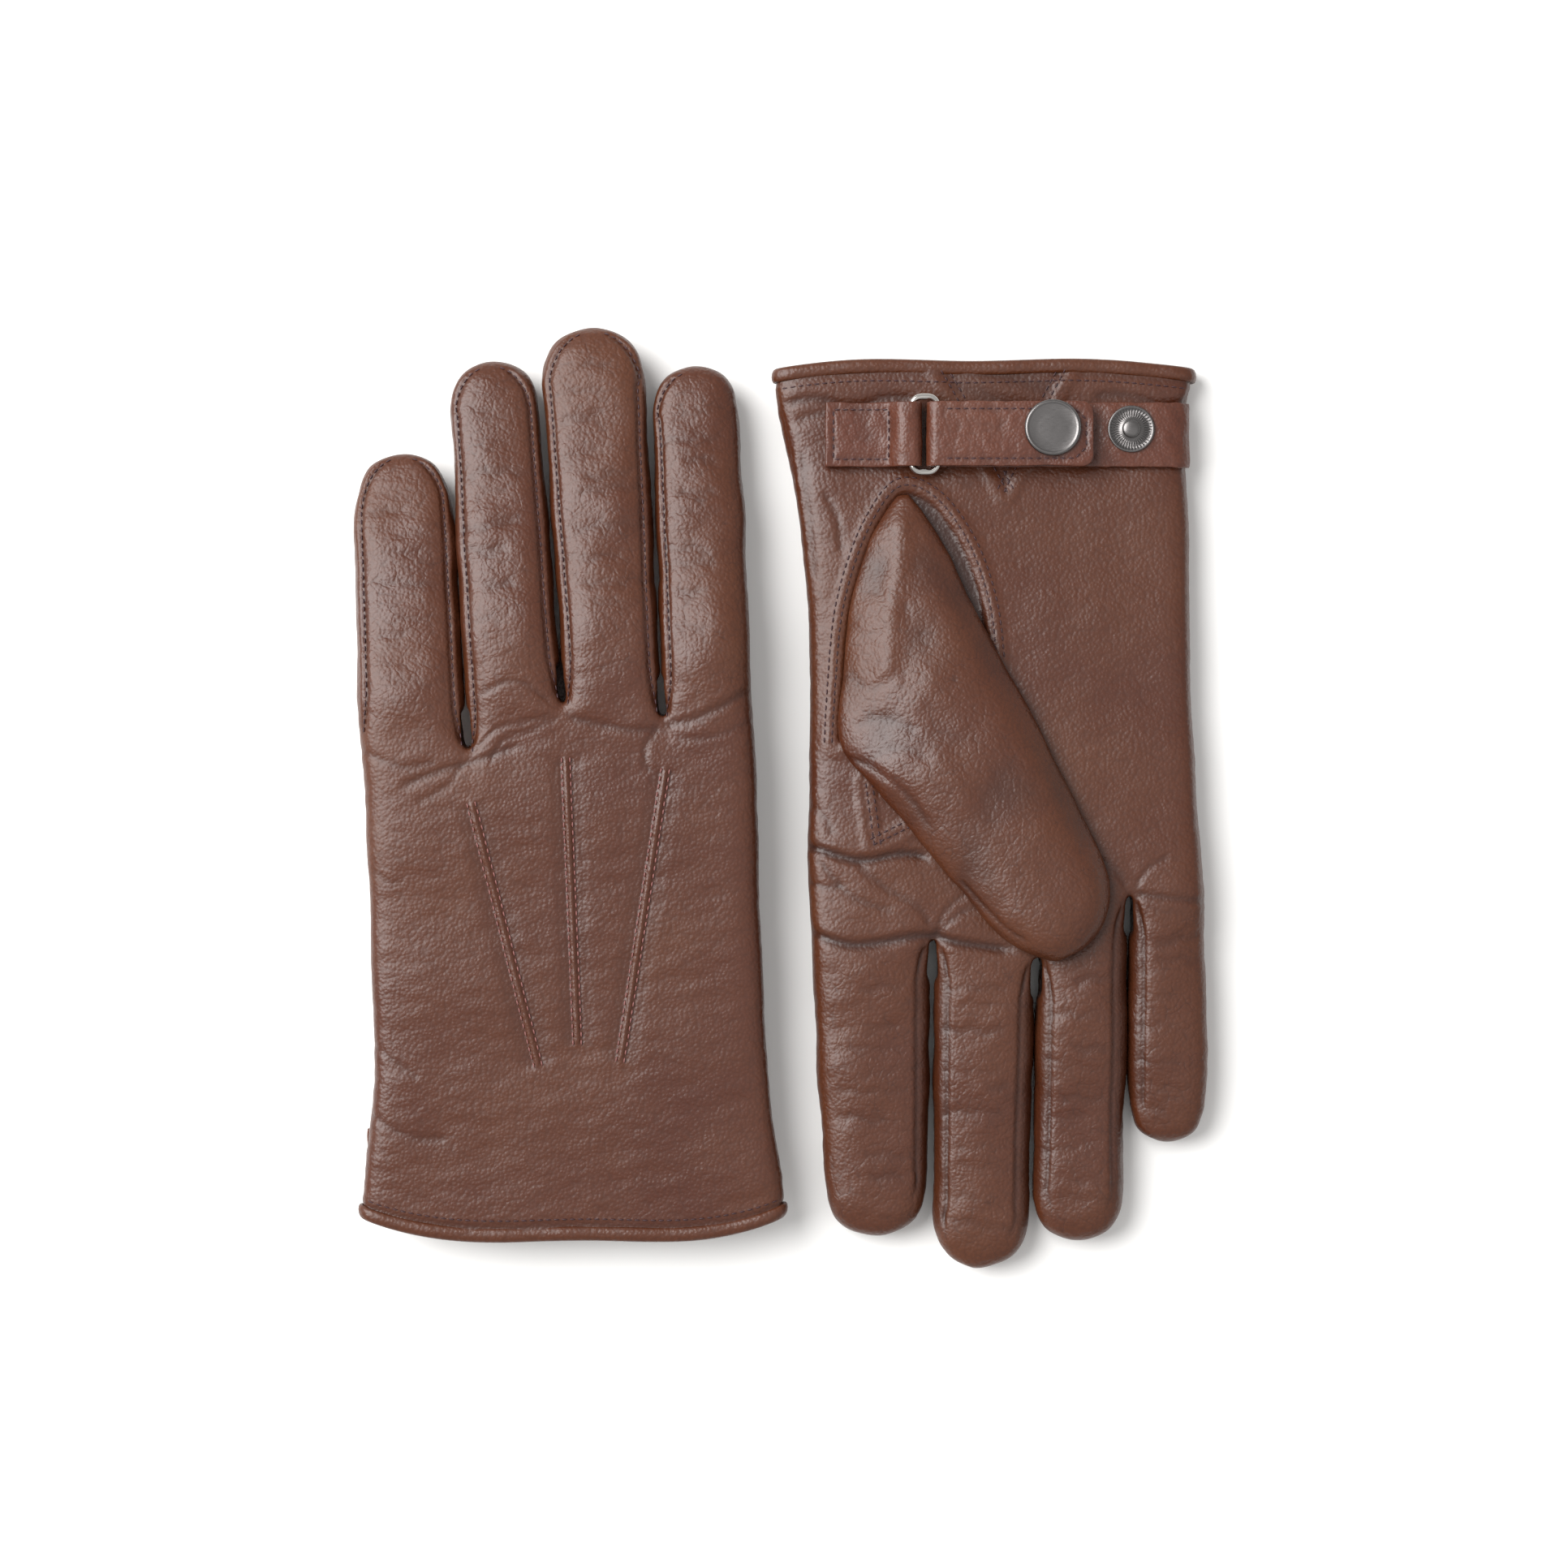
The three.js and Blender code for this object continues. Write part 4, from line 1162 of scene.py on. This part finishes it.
def makeStrap(glove):
    side = glove["side"]
    floor, bar, tail = strapHeights()
    half = strapSize["thick"] / 2
    radius = strapSize["loopGap"] / 2 + half
    low, high = floor + half, tail + half
    start = strap["start"]
    path = [(start - 0.8, low - 3.6), (start + 0.8, low - 1.4), (start + 4, low - 0.2)]
    path += [(x, low) for x in range(-44, 11, 6)] + [(strap["bar"] - 2.5, low)]
    base = ribbon(f"{side}_strap_leather", glove, path, strapSize["thick"])
    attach(base, f"{side}_hand")
    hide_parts(f"{side}_strap")

    path = [(strap["bar"] - 2.5, low), (strap["bar"] - 1.2, low)]
    path += [
        (strap["bar"] + radius * math.sin(a), bar - radius * math.cos(a)) for a in np.linspace(0, math.pi, 9)
    ]
    path += [(x, high) for x in (8, 2, -4, -10, -16, -22, -26, -27.6, strap["tailEnd"])]
    corner = strap["tailCorner"]

    def endShape(n, line, half):
        # Only the free end is rounded.
        past = strap["tailEnd"] + corner - line[n][0]
        if past <= 0:
            return half
        return half - corner + math.sqrt(max(corner**2 - past**2, 0))

    piece = ribbon(f"{side}_tail_leather", glove, path, strapSize["thick"], endShape)
    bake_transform(piece)
    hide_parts(f"{side}_strap_tail")

    x = strap["bar"] + strap["bars"]
    reach = 2.2
    path = [(strap["keeperEnd"], floor + 0.6), (34, floor + 0.6), (x + 4, floor + 0.65)]
    path += [(x - reach * math.sin(a), bar - reach * math.cos(a)) for a in np.linspace(0, math.pi, 7)]
    path += [(x + 3, bar + 1.9), (x + 6, floor + 2.3), (x + 9, floor + 1.85), (36, floor + 1.8)]
    path += [(strap["keeperEnd"], floor + 1.8)]
    keeper = ribbon(f"{side}_keeper_leather", glove, path, 1.15)
    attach(keeper, f"{side}_hand")
    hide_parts(f"{side}_strap_keeper")


def makeLoop(glove):
    # A wire ring, squarish with round corners; the strap covers its middle.
    side = glove["side"]
    halfX, halfY = strap["bars"] / 2, (strap["loop"] - strap["wire"]) / 2
    radius = strap["corner"] - strap["wire"] / 2
    path = bpy.data.curves.new(f"{side}_loop_wire", "CURVE")
    path.dimensions = "3D"
    path.bevel_depth = strap["wire"] / 2
    path.bevel_resolution = 5
    spots = []
    for quarter in range(4):
        way = (1, -1, -1, 1)[quarter], (1, 1, -1, -1)[quarter]
        for n in range(9):
            angle = math.pi / 2 * (quarter + n / 8)
            middle = way[0] * (halfX - radius), way[1] * (halfY - radius)
            spots.append((middle[0] + radius * math.cos(angle), middle[1] + radius * math.sin(angle)))
    spline = path.splines.new("POLY")
    spline.points.add(len(spots) - 1)
    bar = strapHeights()[1]
    for point, (x, y) in zip(spline.points, spots):
        point.co = (strap["bar"] + strap["bars"] / 2 + x, strapSize["y"] + y, bar, 1)
    spline.use_cyclic_u = True
    wire = newObject("wire", path)
    mesh = applied(wire)
    mesh.shade_smooth()
    piece = layPiece(glove, f"{side}_loop", mesh, placed, nickelFinish)
    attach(piece, f"{side}_loop")
    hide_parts(f"{side}_strap_loop")


# Snaps.

snap = {
    "x": -17.8,
    "spareX": -39.2,
    "capRadius": 7.6,
    "flange": 6.3,
    "ball": 2.5,
    "socket": 5.6,
    "post": 1.3,
    "ribs": 40,
    "fit": 0.4,
}


def turn(name, glove, profile, place, change):
    # A profile of radius and height, spun round the snap's axis.
    side = glove["side"]
    bm = bmesh.new()
    verts = [bm.verts.new((r, 0, h)) for r, h in profile]
    edges = [bm.edges.new(pair) for pair in zip(verts, verts[1:])]
    if profile[0][0] > 0:
        edges.append(bm.edges.new((verts[-1], verts[0])))
    bmesh.ops.spin(
        bm, geom=verts + edges, cent=(0, 0, 0), axis=(0, 0, 1), angle=2 * math.pi,
        steps=6 * snap["ribs"] if change else 96, use_merge=True,
    )
    bmesh.ops.remove_doubles(bm, verts=bm.verts[:], dist=1e-4)
    if change:
        for vert in bm.verts:
            vert.co.z += change(math.hypot(vert.co.x, vert.co.y), math.atan2(vert.co.y, vert.co.x), vert.co.z)
    bmesh.ops.recalc_face_normals(bm, faces=bm.faces[:])
    bmesh.ops.translate(bm, verts=bm.verts[:], vec=place)
    mesh = meshFrom(bm, f"{side}_{name}")
    mesh.shade_smooth()
    return layPiece(glove, mesh.name, mesh, placed, gunmetalFinish)


def makeSnaps(glove):
    side = glove["side"]
    floor, _, tail = strapHeights()
    top = tail + strapSize["thick"]
    r, post = snap["capRadius"], snap["post"]
    cap = [(0, -1.6), (post, -1.6), (post, 0.3), (r - 0.4, 0.3), (r - 0.1, 0.4), (r, 0.7), (r, 1.2)]
    cap += [(r - 0.15, 1.5), (r - 0.5, 1.72), (r - 0.85, 1.72), (r - 1.05, 1.58)]
    cap += [(r - 1.3, 1.5), (3.8, 1.6), (0, 1.68)]
    parts = [("cap", cap, snap["x"], top, f"{side}_tail", "snap_cap", None)]
    inner = snap["ball"] + snap["fit"]
    rim = snap["socket"]
    ring = [(inner, -1.95), (inner + 0.5, -2.0), (rim - 0.5, -1.9), (rim, -1.2), (rim, -0.25)]
    ring += [(rim - 0.2, -0.15), (inner, -0.15)]
    parts.append(("socket", ring, snap["x"], tail, f"{side}_tail", "snap_socket", None))
    flange, ball = snap["flange"], snap["ball"]
    stud = [(0, 0), (flange - 0.2, 0), (flange, 0.15), (flange, 0.7), (flange - 0.25, 0.86)]
    stud += [(flange - 0.6, 0.82), (flange - 0.85, 0.5), (flange - 1.6, 0.52), (flange - 2.6, 0.6)]
    stud += [(ball + 0.75, 0.66), (ball + 0.45, 0.85), (ball - 0.1, 0.9)]
    stud += [(ball - 0.35, 1.3), (ball, 1.8), (ball - 0.1, 2.15), (ball - 0.5, 2.42)]
    stud += [(ball - 1.2, 2.58), (0, 2.64)]

    def ribbed(radius, angle, height):
        # Fine ribs radiate across the flange.
        inBand = ease(np.array((radius - ball - 0.8) / 0.5)) * ease(np.array((flange - 0.7 - radius) / 0.4))
        return float(0.2 * inBand * math.cos(snap["ribs"] * angle)) if height > 0.3 else 0.0

    bottom = floor + strapSize["thick"] + 0.15
    parts.append(("stud", stud, snap["x"], bottom, f"{side}_hand", "snap_stud", None))
    parts.append(("spare", stud, snap["spareX"], bottom, f"{side}_hand", "spare_stud", ribbed))
    for name, profile, x, z, body, node, change in parts:
        piece = turn(f"{name}_metal", glove, profile, (x, strapSize["snapY"], z), change)
        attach(piece, body)
        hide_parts(f"{side}_{node}")


# Metal, strap and lining finishes.


def metalMaterial(name, colour, low, high, brushed):
    # Plated metal with faint wear, brushed or left bright.
    material = newMaterial(name)
    way = (1, 14, 1) if brushed else (1, 1, 1)
    stretch = addNode(material, "Mapping", Vector=objectPlace(material), Scale=way)
    scratch = noise(material, stretch.outputs[0], 1.6, 5.0)
    rough = spread(material, scratch, 0.3, 0.7, low, high)
    bump = addNode(material, "Bump", Height=scratch, Strength=0.12 if brushed else 0.04, Distance=0.0001)
    shader = addNode(
        material, "BsdfPrincipled", Base_Color=tone(colour), Metallic=1.0,
        Roughness=rough, Normal=bump.outputs[0],
    )
    return finishMaterial(material, shader)


def threadMaterial(name, colour, shade):
    # Bonded polyester thread: a slight sheen and a twist too fine to draw.
    material = newMaterial(name)
    fibre = noise(material, objectPlace(material), 0.8, 2.0)
    colours = mixed(material, fibre, tone(colour), tone(shade))
    bump = addNode(material, "Bump", Height=fibre, Strength=0.3, Distance=0.0001)
    shader = addNode(
        material, "BsdfPrincipled", Base_Color=colours, Roughness=0.55, Normal=bump.outputs[0]
    )
    return finishMaterial(material, shader)


def knitMaterial():
    # A brushed wool jersey: fine ribs along the hand, with a soft nap.
    material = newMaterial("brushed wool jersey")
    where = objectPlace(material)
    ribs = addNode(
        material, "TexWave", {"bands_direction": "X"},
        Vector=where, Scale=1000 / 10, Distortion=1.2, Detail=1.0,
    ).outputs["Fac"]
    nap = noise(material, where, 0.9, 4.0)
    both = addNode(material, "Math", {"operation": "ADD"}, i0=ribs, i1=nap)
    # Painted shade in the hollows between the ribs and painted highlight on their tops.
    colour = mixed(material, ribs, tone("#33211a"), tone("#58392c"))
    bump = addNode(material, "Bump", Height=both.outputs[0], Strength=0.6, Distance=0.0004)
    shader = addNode(
        material, "BsdfPrincipled", Base_Color=colour, Roughness=0.95, Normal=bump.outputs[0],
        Sheen_Weight=0.4, Sheen_Roughness=0.5,
    )
    return finishMaterial(material, shader)


gunmetalFinish = metalMaterial("gunmetal plated brass, brushed", "#6b6867", 0.26, 0.4, True)
nickelFinish = metalMaterial("polished nickel wire", "#c4c0bb", 0.1, 0.2, False)
threadFinish = threadMaterial("plum brown thread", "#43242a", "#2a1417")
paleThreadFinish = threadMaterial("rose brown thread", "#8c5b55", "#5d3432")
knitFinish = knitMaterial()
strapLook = dict(leather, dark="#240f0a", middle="#4e2517", light="#5a301f", grain=0.8)
strapFinish = leatherMaterial("smooth calf strap leather", strapLook, False)


# Linings.


def growRings(bm, count):
    # A ring of edges extruded into a row of rings; returns the last one's edges and every ring's vertices.
    edges, rings = bm.edges[:], [bm.verts[:]]
    for _ in range(count - 1):
        made = bmesh.ops.extrude_edge_only(bm, edges=edges)["geom"]
        edges = [e for e in made if isinstance(e, bmesh.types.BMEdge) and e.is_boundary]
        rings.append([v for v in made if isinstance(v, bmesh.types.BMVert)])
    return edges, rings


def makeLining(glove):
    # The knitted bag inside the hand, open at the cuff.
    side = glove["side"]
    rows = [3.0, 12.0, 30.0, 60.0, 90.0, 112.0]
    count = 72
    bm = bmesh.new()
    bmesh.ops.create_circle(bm, cap_ends=False, segments=count, radius=1)
    edges, rings = growRings(bm, len(rows))
    for y, ring in zip(rows, rings):
        half, middle, low, high = cuffSection(glove, y, 3.4)
        for vert in ring:
            angle = math.atan2(vert.co.y, vert.co.x)
            c, s = math.cos(angle), math.sin(angle)
            across = math.copysign(abs(c) ** 0.4, c) * half
            rise = math.copysign(abs(s) ** 0.7, s) * (high - low) / 2 * 0.9
            vert.co = (middle + across, y, (low + high) / 2 + rise)
    closeHoles(bm, edges)
    bmesh.ops.recalc_face_normals(bm, faces=bm.faces[:])
    bmesh.ops.solidify(bm, geom=bm.faces[:], thickness=wall["lining"] * 0.6)
    bmesh.ops.recalc_face_normals(bm, faces=bm.faces[:])
    piece = makeSoft(glove, bm, f"{side}_hand_knit")
    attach(piece, f"{side}_hand")
    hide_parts(f"{side}_hand_lining")


def makeSoft(glove, bm, name):
    for face in bm.faces:
        face.smooth = True
    mesh = meshFrom(bm, name)
    return layPiece(glove, name, mesh, finalPlace, knitFinish)


def stall(places, widths, heights):
    # A closed finger-shaped bag: a round section carried along places, with half widths and heights.
    bm = bmesh.new()
    bmesh.ops.create_circle(bm, cap_ends=False, segments=20, radius=1)
    first = bm.edges[:]
    edges, rings = growRings(bm, len(places))
    for (middle, side), wide, high, ring in zip(places, widths, heights, rings):
        for vert in ring:
            across, rise = vert.co.x * wide, vert.co.y * high
            vert.co = Vector(middle) + Vector(side) * across + Vector((0, 0, rise))
    closeHoles(bm, first)
    closeHoles(bm, edges)
    bmesh.ops.recalc_face_normals(bm, faces=bm.faces[:])
    return bm


def makeFingerLinings(glove):
    side = glove["side"]
    for name in fingerNames:
        size = glove["fingers"][name]
        lean = math.radians(size["lean"])
        places, widths, heights = [], [], []
        # It starts well past the part that bends, so it can't show through the fold.
        first = (bendStart(glove, name) + blendReach + liningClear - size["y"]) / size["length"]
        for share in (*np.linspace(first, 0.82, 4), 0.93, 0.97):
            d = share * size["length"]
            deep = palmHeight(size["y"]) - thick["tipTaper"] * share
            place = (*onFinger(size, d, 0), palmHeight(size["y"]) / 2)
            places.append((place, (math.cos(lean), math.sin(lean), 0)))
            taper = 1 if share < 0.8 else (0.7 if share < 0.95 else 0.3)
            widths.append((float(fingerHalf(size, d)) - 3.2) * taper)
            heights.append((deep / 2 - 2.4) * taper)
        piece = makeSoft(glove, stall(places, widths, heights), f"{side}_{name}_knit")
        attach(piece, f"{side}_{name}")
        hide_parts(f"{side}_{name}_lining")
    places, widths, heights = [], [], []
    for row in range(thumbHinge + 2, len(thumbRows) - 1):
        inner, outer, high = thumbRows[row]
        dx, dy = thumbShift(glove, row)
        middle = ((inner[0] + outer[0]) / 2 + dx, (inner[1] + outer[1]) / 2 + dy)
        way = Vector((outer[0] - inner[0], outer[1] - inner[1], 0))
        floor = palmHeight(min(middle[1], thick["knuckleY"])) + wall["gap"]
        places.append(((*middle, floor + high / 2), tuple(way.normalized())))
        widths.append(way.length / 2 - 3.4)
        heights.append(high / 2 - 2.2)
    piece = makeSoft(glove, stall(places, widths, heights), f"{side}_thumb_knit")
    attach(piece, f"{side}_thumb")
    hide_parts(f"{side}_thumb_lining")


# Stitches.

stitch = {"every": 2.15, "length": 1.5, "width": 0.42, "sink": 0.02}


def stitchesAlong(bm, tree, line, face, width=stitch["width"]):
    # Short threads laid on the leather along a line; face is 1 for the palm and -1 for the back.
    steps = np.linalg.norm(np.diff(np.array(line), axis=0), axis=1).sum()
    spots = curve(line, max(2, int(round(steps / stitch["every"])) * 2 + 1))
    for n in range(0, len(spots) - 2, 2):
        ends = []
        for spot in (spots[n], spots[n + 2]):
            hit = tree.ray_cast(Vector((spot[0], spot[1], 40 * face)), Vector((0, 0, -face)))
            if hit[0] is None:
                break
            ends.append((hit[0], hit[1]))
        if len(ends) < 2:
            continue
        along = (ends[1][0] - ends[0][0]).normalized()
        normal = ends[0][1] + ends[1][1]
        if normal.z * face < 0:
            normal.negate()
        normal = (normal - along * normal.dot(along)).normalized()
        across = normal.cross(along)
        middle = (ends[0][0] + ends[1][0]) / 2 + normal * (width / 2 - stitch["sink"])
        turnTo = Matrix((across, along, normal)).transposed().to_4x4()
        size = Matrix.Diagonal((width / 2, stitch["length"] / 2, width / 2, 1))
        bmesh.ops.create_uvsphere(
            bm, u_segments=6, v_segments=4, radius=1,
            matrix=Matrix.Translation(middle) @ turnTo @ size @ Matrix.Rotation(math.pi / 2, 4, "X"),
        )


def offsetLine(line, amount):
    # The line moved sideways in plan.
    line = curve(line, 40)
    way = np.gradient(line, axis=0)
    way /= np.linalg.norm(way, axis=1)[:, None]
    return (line + amount * np.column_stack((way[:, 1], -way[:, 0]))).tolist()


def finishStitches(glove, bm, name, material):
    for face in bm.faces:
        face.smooth = True
    mesh = meshFrom(bm, name)
    onStrap = "strap" in name or "keeper" in name
    return layPiece(glove, name, mesh, placed if onStrap else finalPlace, material)


def makeStitches(glove):
    side = glove["side"]
    tree = trees[side]
    bm = bmesh.new()
    for row in (-1.4, -3.4):
        stitchesAlong(bm, tree, offsetLine(thumbSeam, row), 1)
    for line in (ventSeam[:3], ventSeam[2:]):
        for row in (-0.7, -2.6):
            stitchesAlong(bm, tree, offsetLine(line, row), 1)
    for line in (quirkSeam[:2], quirkSeam[1:]):
        for row in (-0.5, -2.2):
            stitchesAlong(bm, tree, offsetLine(line, row), 1)
    height = hem["stitchRow"]
    left, right = sideAt(glove["littleSide"], height) + 2, sideAt(glove["indexSide"], height) - 2
    row = [(x, height) for x in np.linspace(left, right, 12)]
    for face in (1, -1):
        stitchesAlong(bm, tree, row, face)
    piece = finishStitches(glove, bm, f"{side}_hand_stitches", threadFinish)
    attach(piece, f"{side}_hand")
    bm = bmesh.new()
    for line in backPoints:
        for row in (-1.05, 1.05):
            stitchesAlong(bm, tree, offsetLine(line, row), -1, width=0.5)
    piece = finishStitches(glove, bm, f"{side}_point_stitches", paleThreadFinish)
    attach(piece, f"{side}_hand")
    for name in fingerNames:
        bm = bmesh.new()
        for way in fingerSides(name)[1]:
            stitchesAlong(bm, tree, fingerLine(glove, name, way, seams["backInset"] - 0.15), -1)
        piece = finishStitches(glove, bm, f"{side}_{name}_stitches", threadFinish)
        bindFinger(piece)
    tail, box = rowLines()
    bm = bmesh.new()
    for a, b in zip(tail, tail[1:]):
        stitchesAlong(bm, trees[f"{side}_tail_leather"], [a, b], 1)
    piece = finishStitches(glove, bm, f"{side}_strap_stitches", threadFinish)
    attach(piece, f"{side}_tail")
    bm = bmesh.new()
    for a, b in zip(box, box[1:]):
        stitchesAlong(bm, trees[f"{side}_keeper_leather"], [a, b], 1)
    piece = finishStitches(glove, bm, f"{side}_keeper_stitches", threadFinish)
    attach(piece, f"{side}_hand")


for glove in (leftGlove, rightGlove):
    makeThumb(glove)
    makeHem(glove)
    makeStrap(glove)
    makeLoop(glove)
    makeSnaps(glove)
    makeLining(glove)
    makeFingerLinings(glove)
    makeStitches(glove)
    print("thumb, strap, snaps, linings and stitches made:", glove["side"])


# Floor, light and camera.

studio = {"floor": "#f4f3f1", "key": 46.0, "fill": 1.5, "sky": 0.6}


def makeStudio():
    bm = bmesh.new()
    bmesh.ops.create_grid(bm, x_segments=1, y_segments=1, size=3)
    mesh = meshFrom(bm, "floor")
    floor = newObject("floor", mesh)
    floor.location.z = min(cadBox[0][2], 0) - 0.0006
    card = newMaterial("matt white card")
    shader = addNode(card, "BsdfPrincipled", Base_Color=tone(studio["floor"]), Roughness=0.9)
    mesh.materials.append(finishMaterial(card, shader))
    world = bpy.data.worlds.new("studio")
    world.use_nodes = True
    world.node_tree.nodes["Background"].inputs["Color"].default_value = (1, 1, 1, 1)
    world.node_tree.nodes["Background"].inputs["Strength"].default_value = studio["sky"]
    bpy.context.scene.world = world
    for name, place, size, power in (
        ("key", (-0.95, 0.45, 1.25), 1.5, studio["key"]),
        ("fill", (0.5, -0.3, 1.4), 1.2, studio["fill"]),
    ):
        light = bpy.data.lights.new(name, "AREA")
        light.shape = "DISK"
        light.size = size
        light.energy = power
        lamp = newObject(name, light)
        lamp.location = place
        lamp.rotation_euler = (Vector((0, 0, 0)) - Vector(place)).to_track_quat("-Z", "Y").to_euler()


def makeCamera():
    # Straight down, from far enough that the gloves show no perspective to speak of.
    view = {"lens": 100, "sensor": 36, "across": 0.425, "aim": (0.00044, 0.0042, 0.008)}
    camera = bpy.data.cameras.new("camera")
    camera.lens = view["lens"]
    camera.sensor_width = view["sensor"]
    obj = newObject("camera", camera)
    x, y, z = view["aim"]
    obj.location = (x, y, z + view["across"] * view["lens"] / view["sensor"])
    bpy.context.scene.camera = obj


makeStudio()
makeCamera()
bpy.context.scene.view_settings.view_transform = "Standard"
print("studio made")
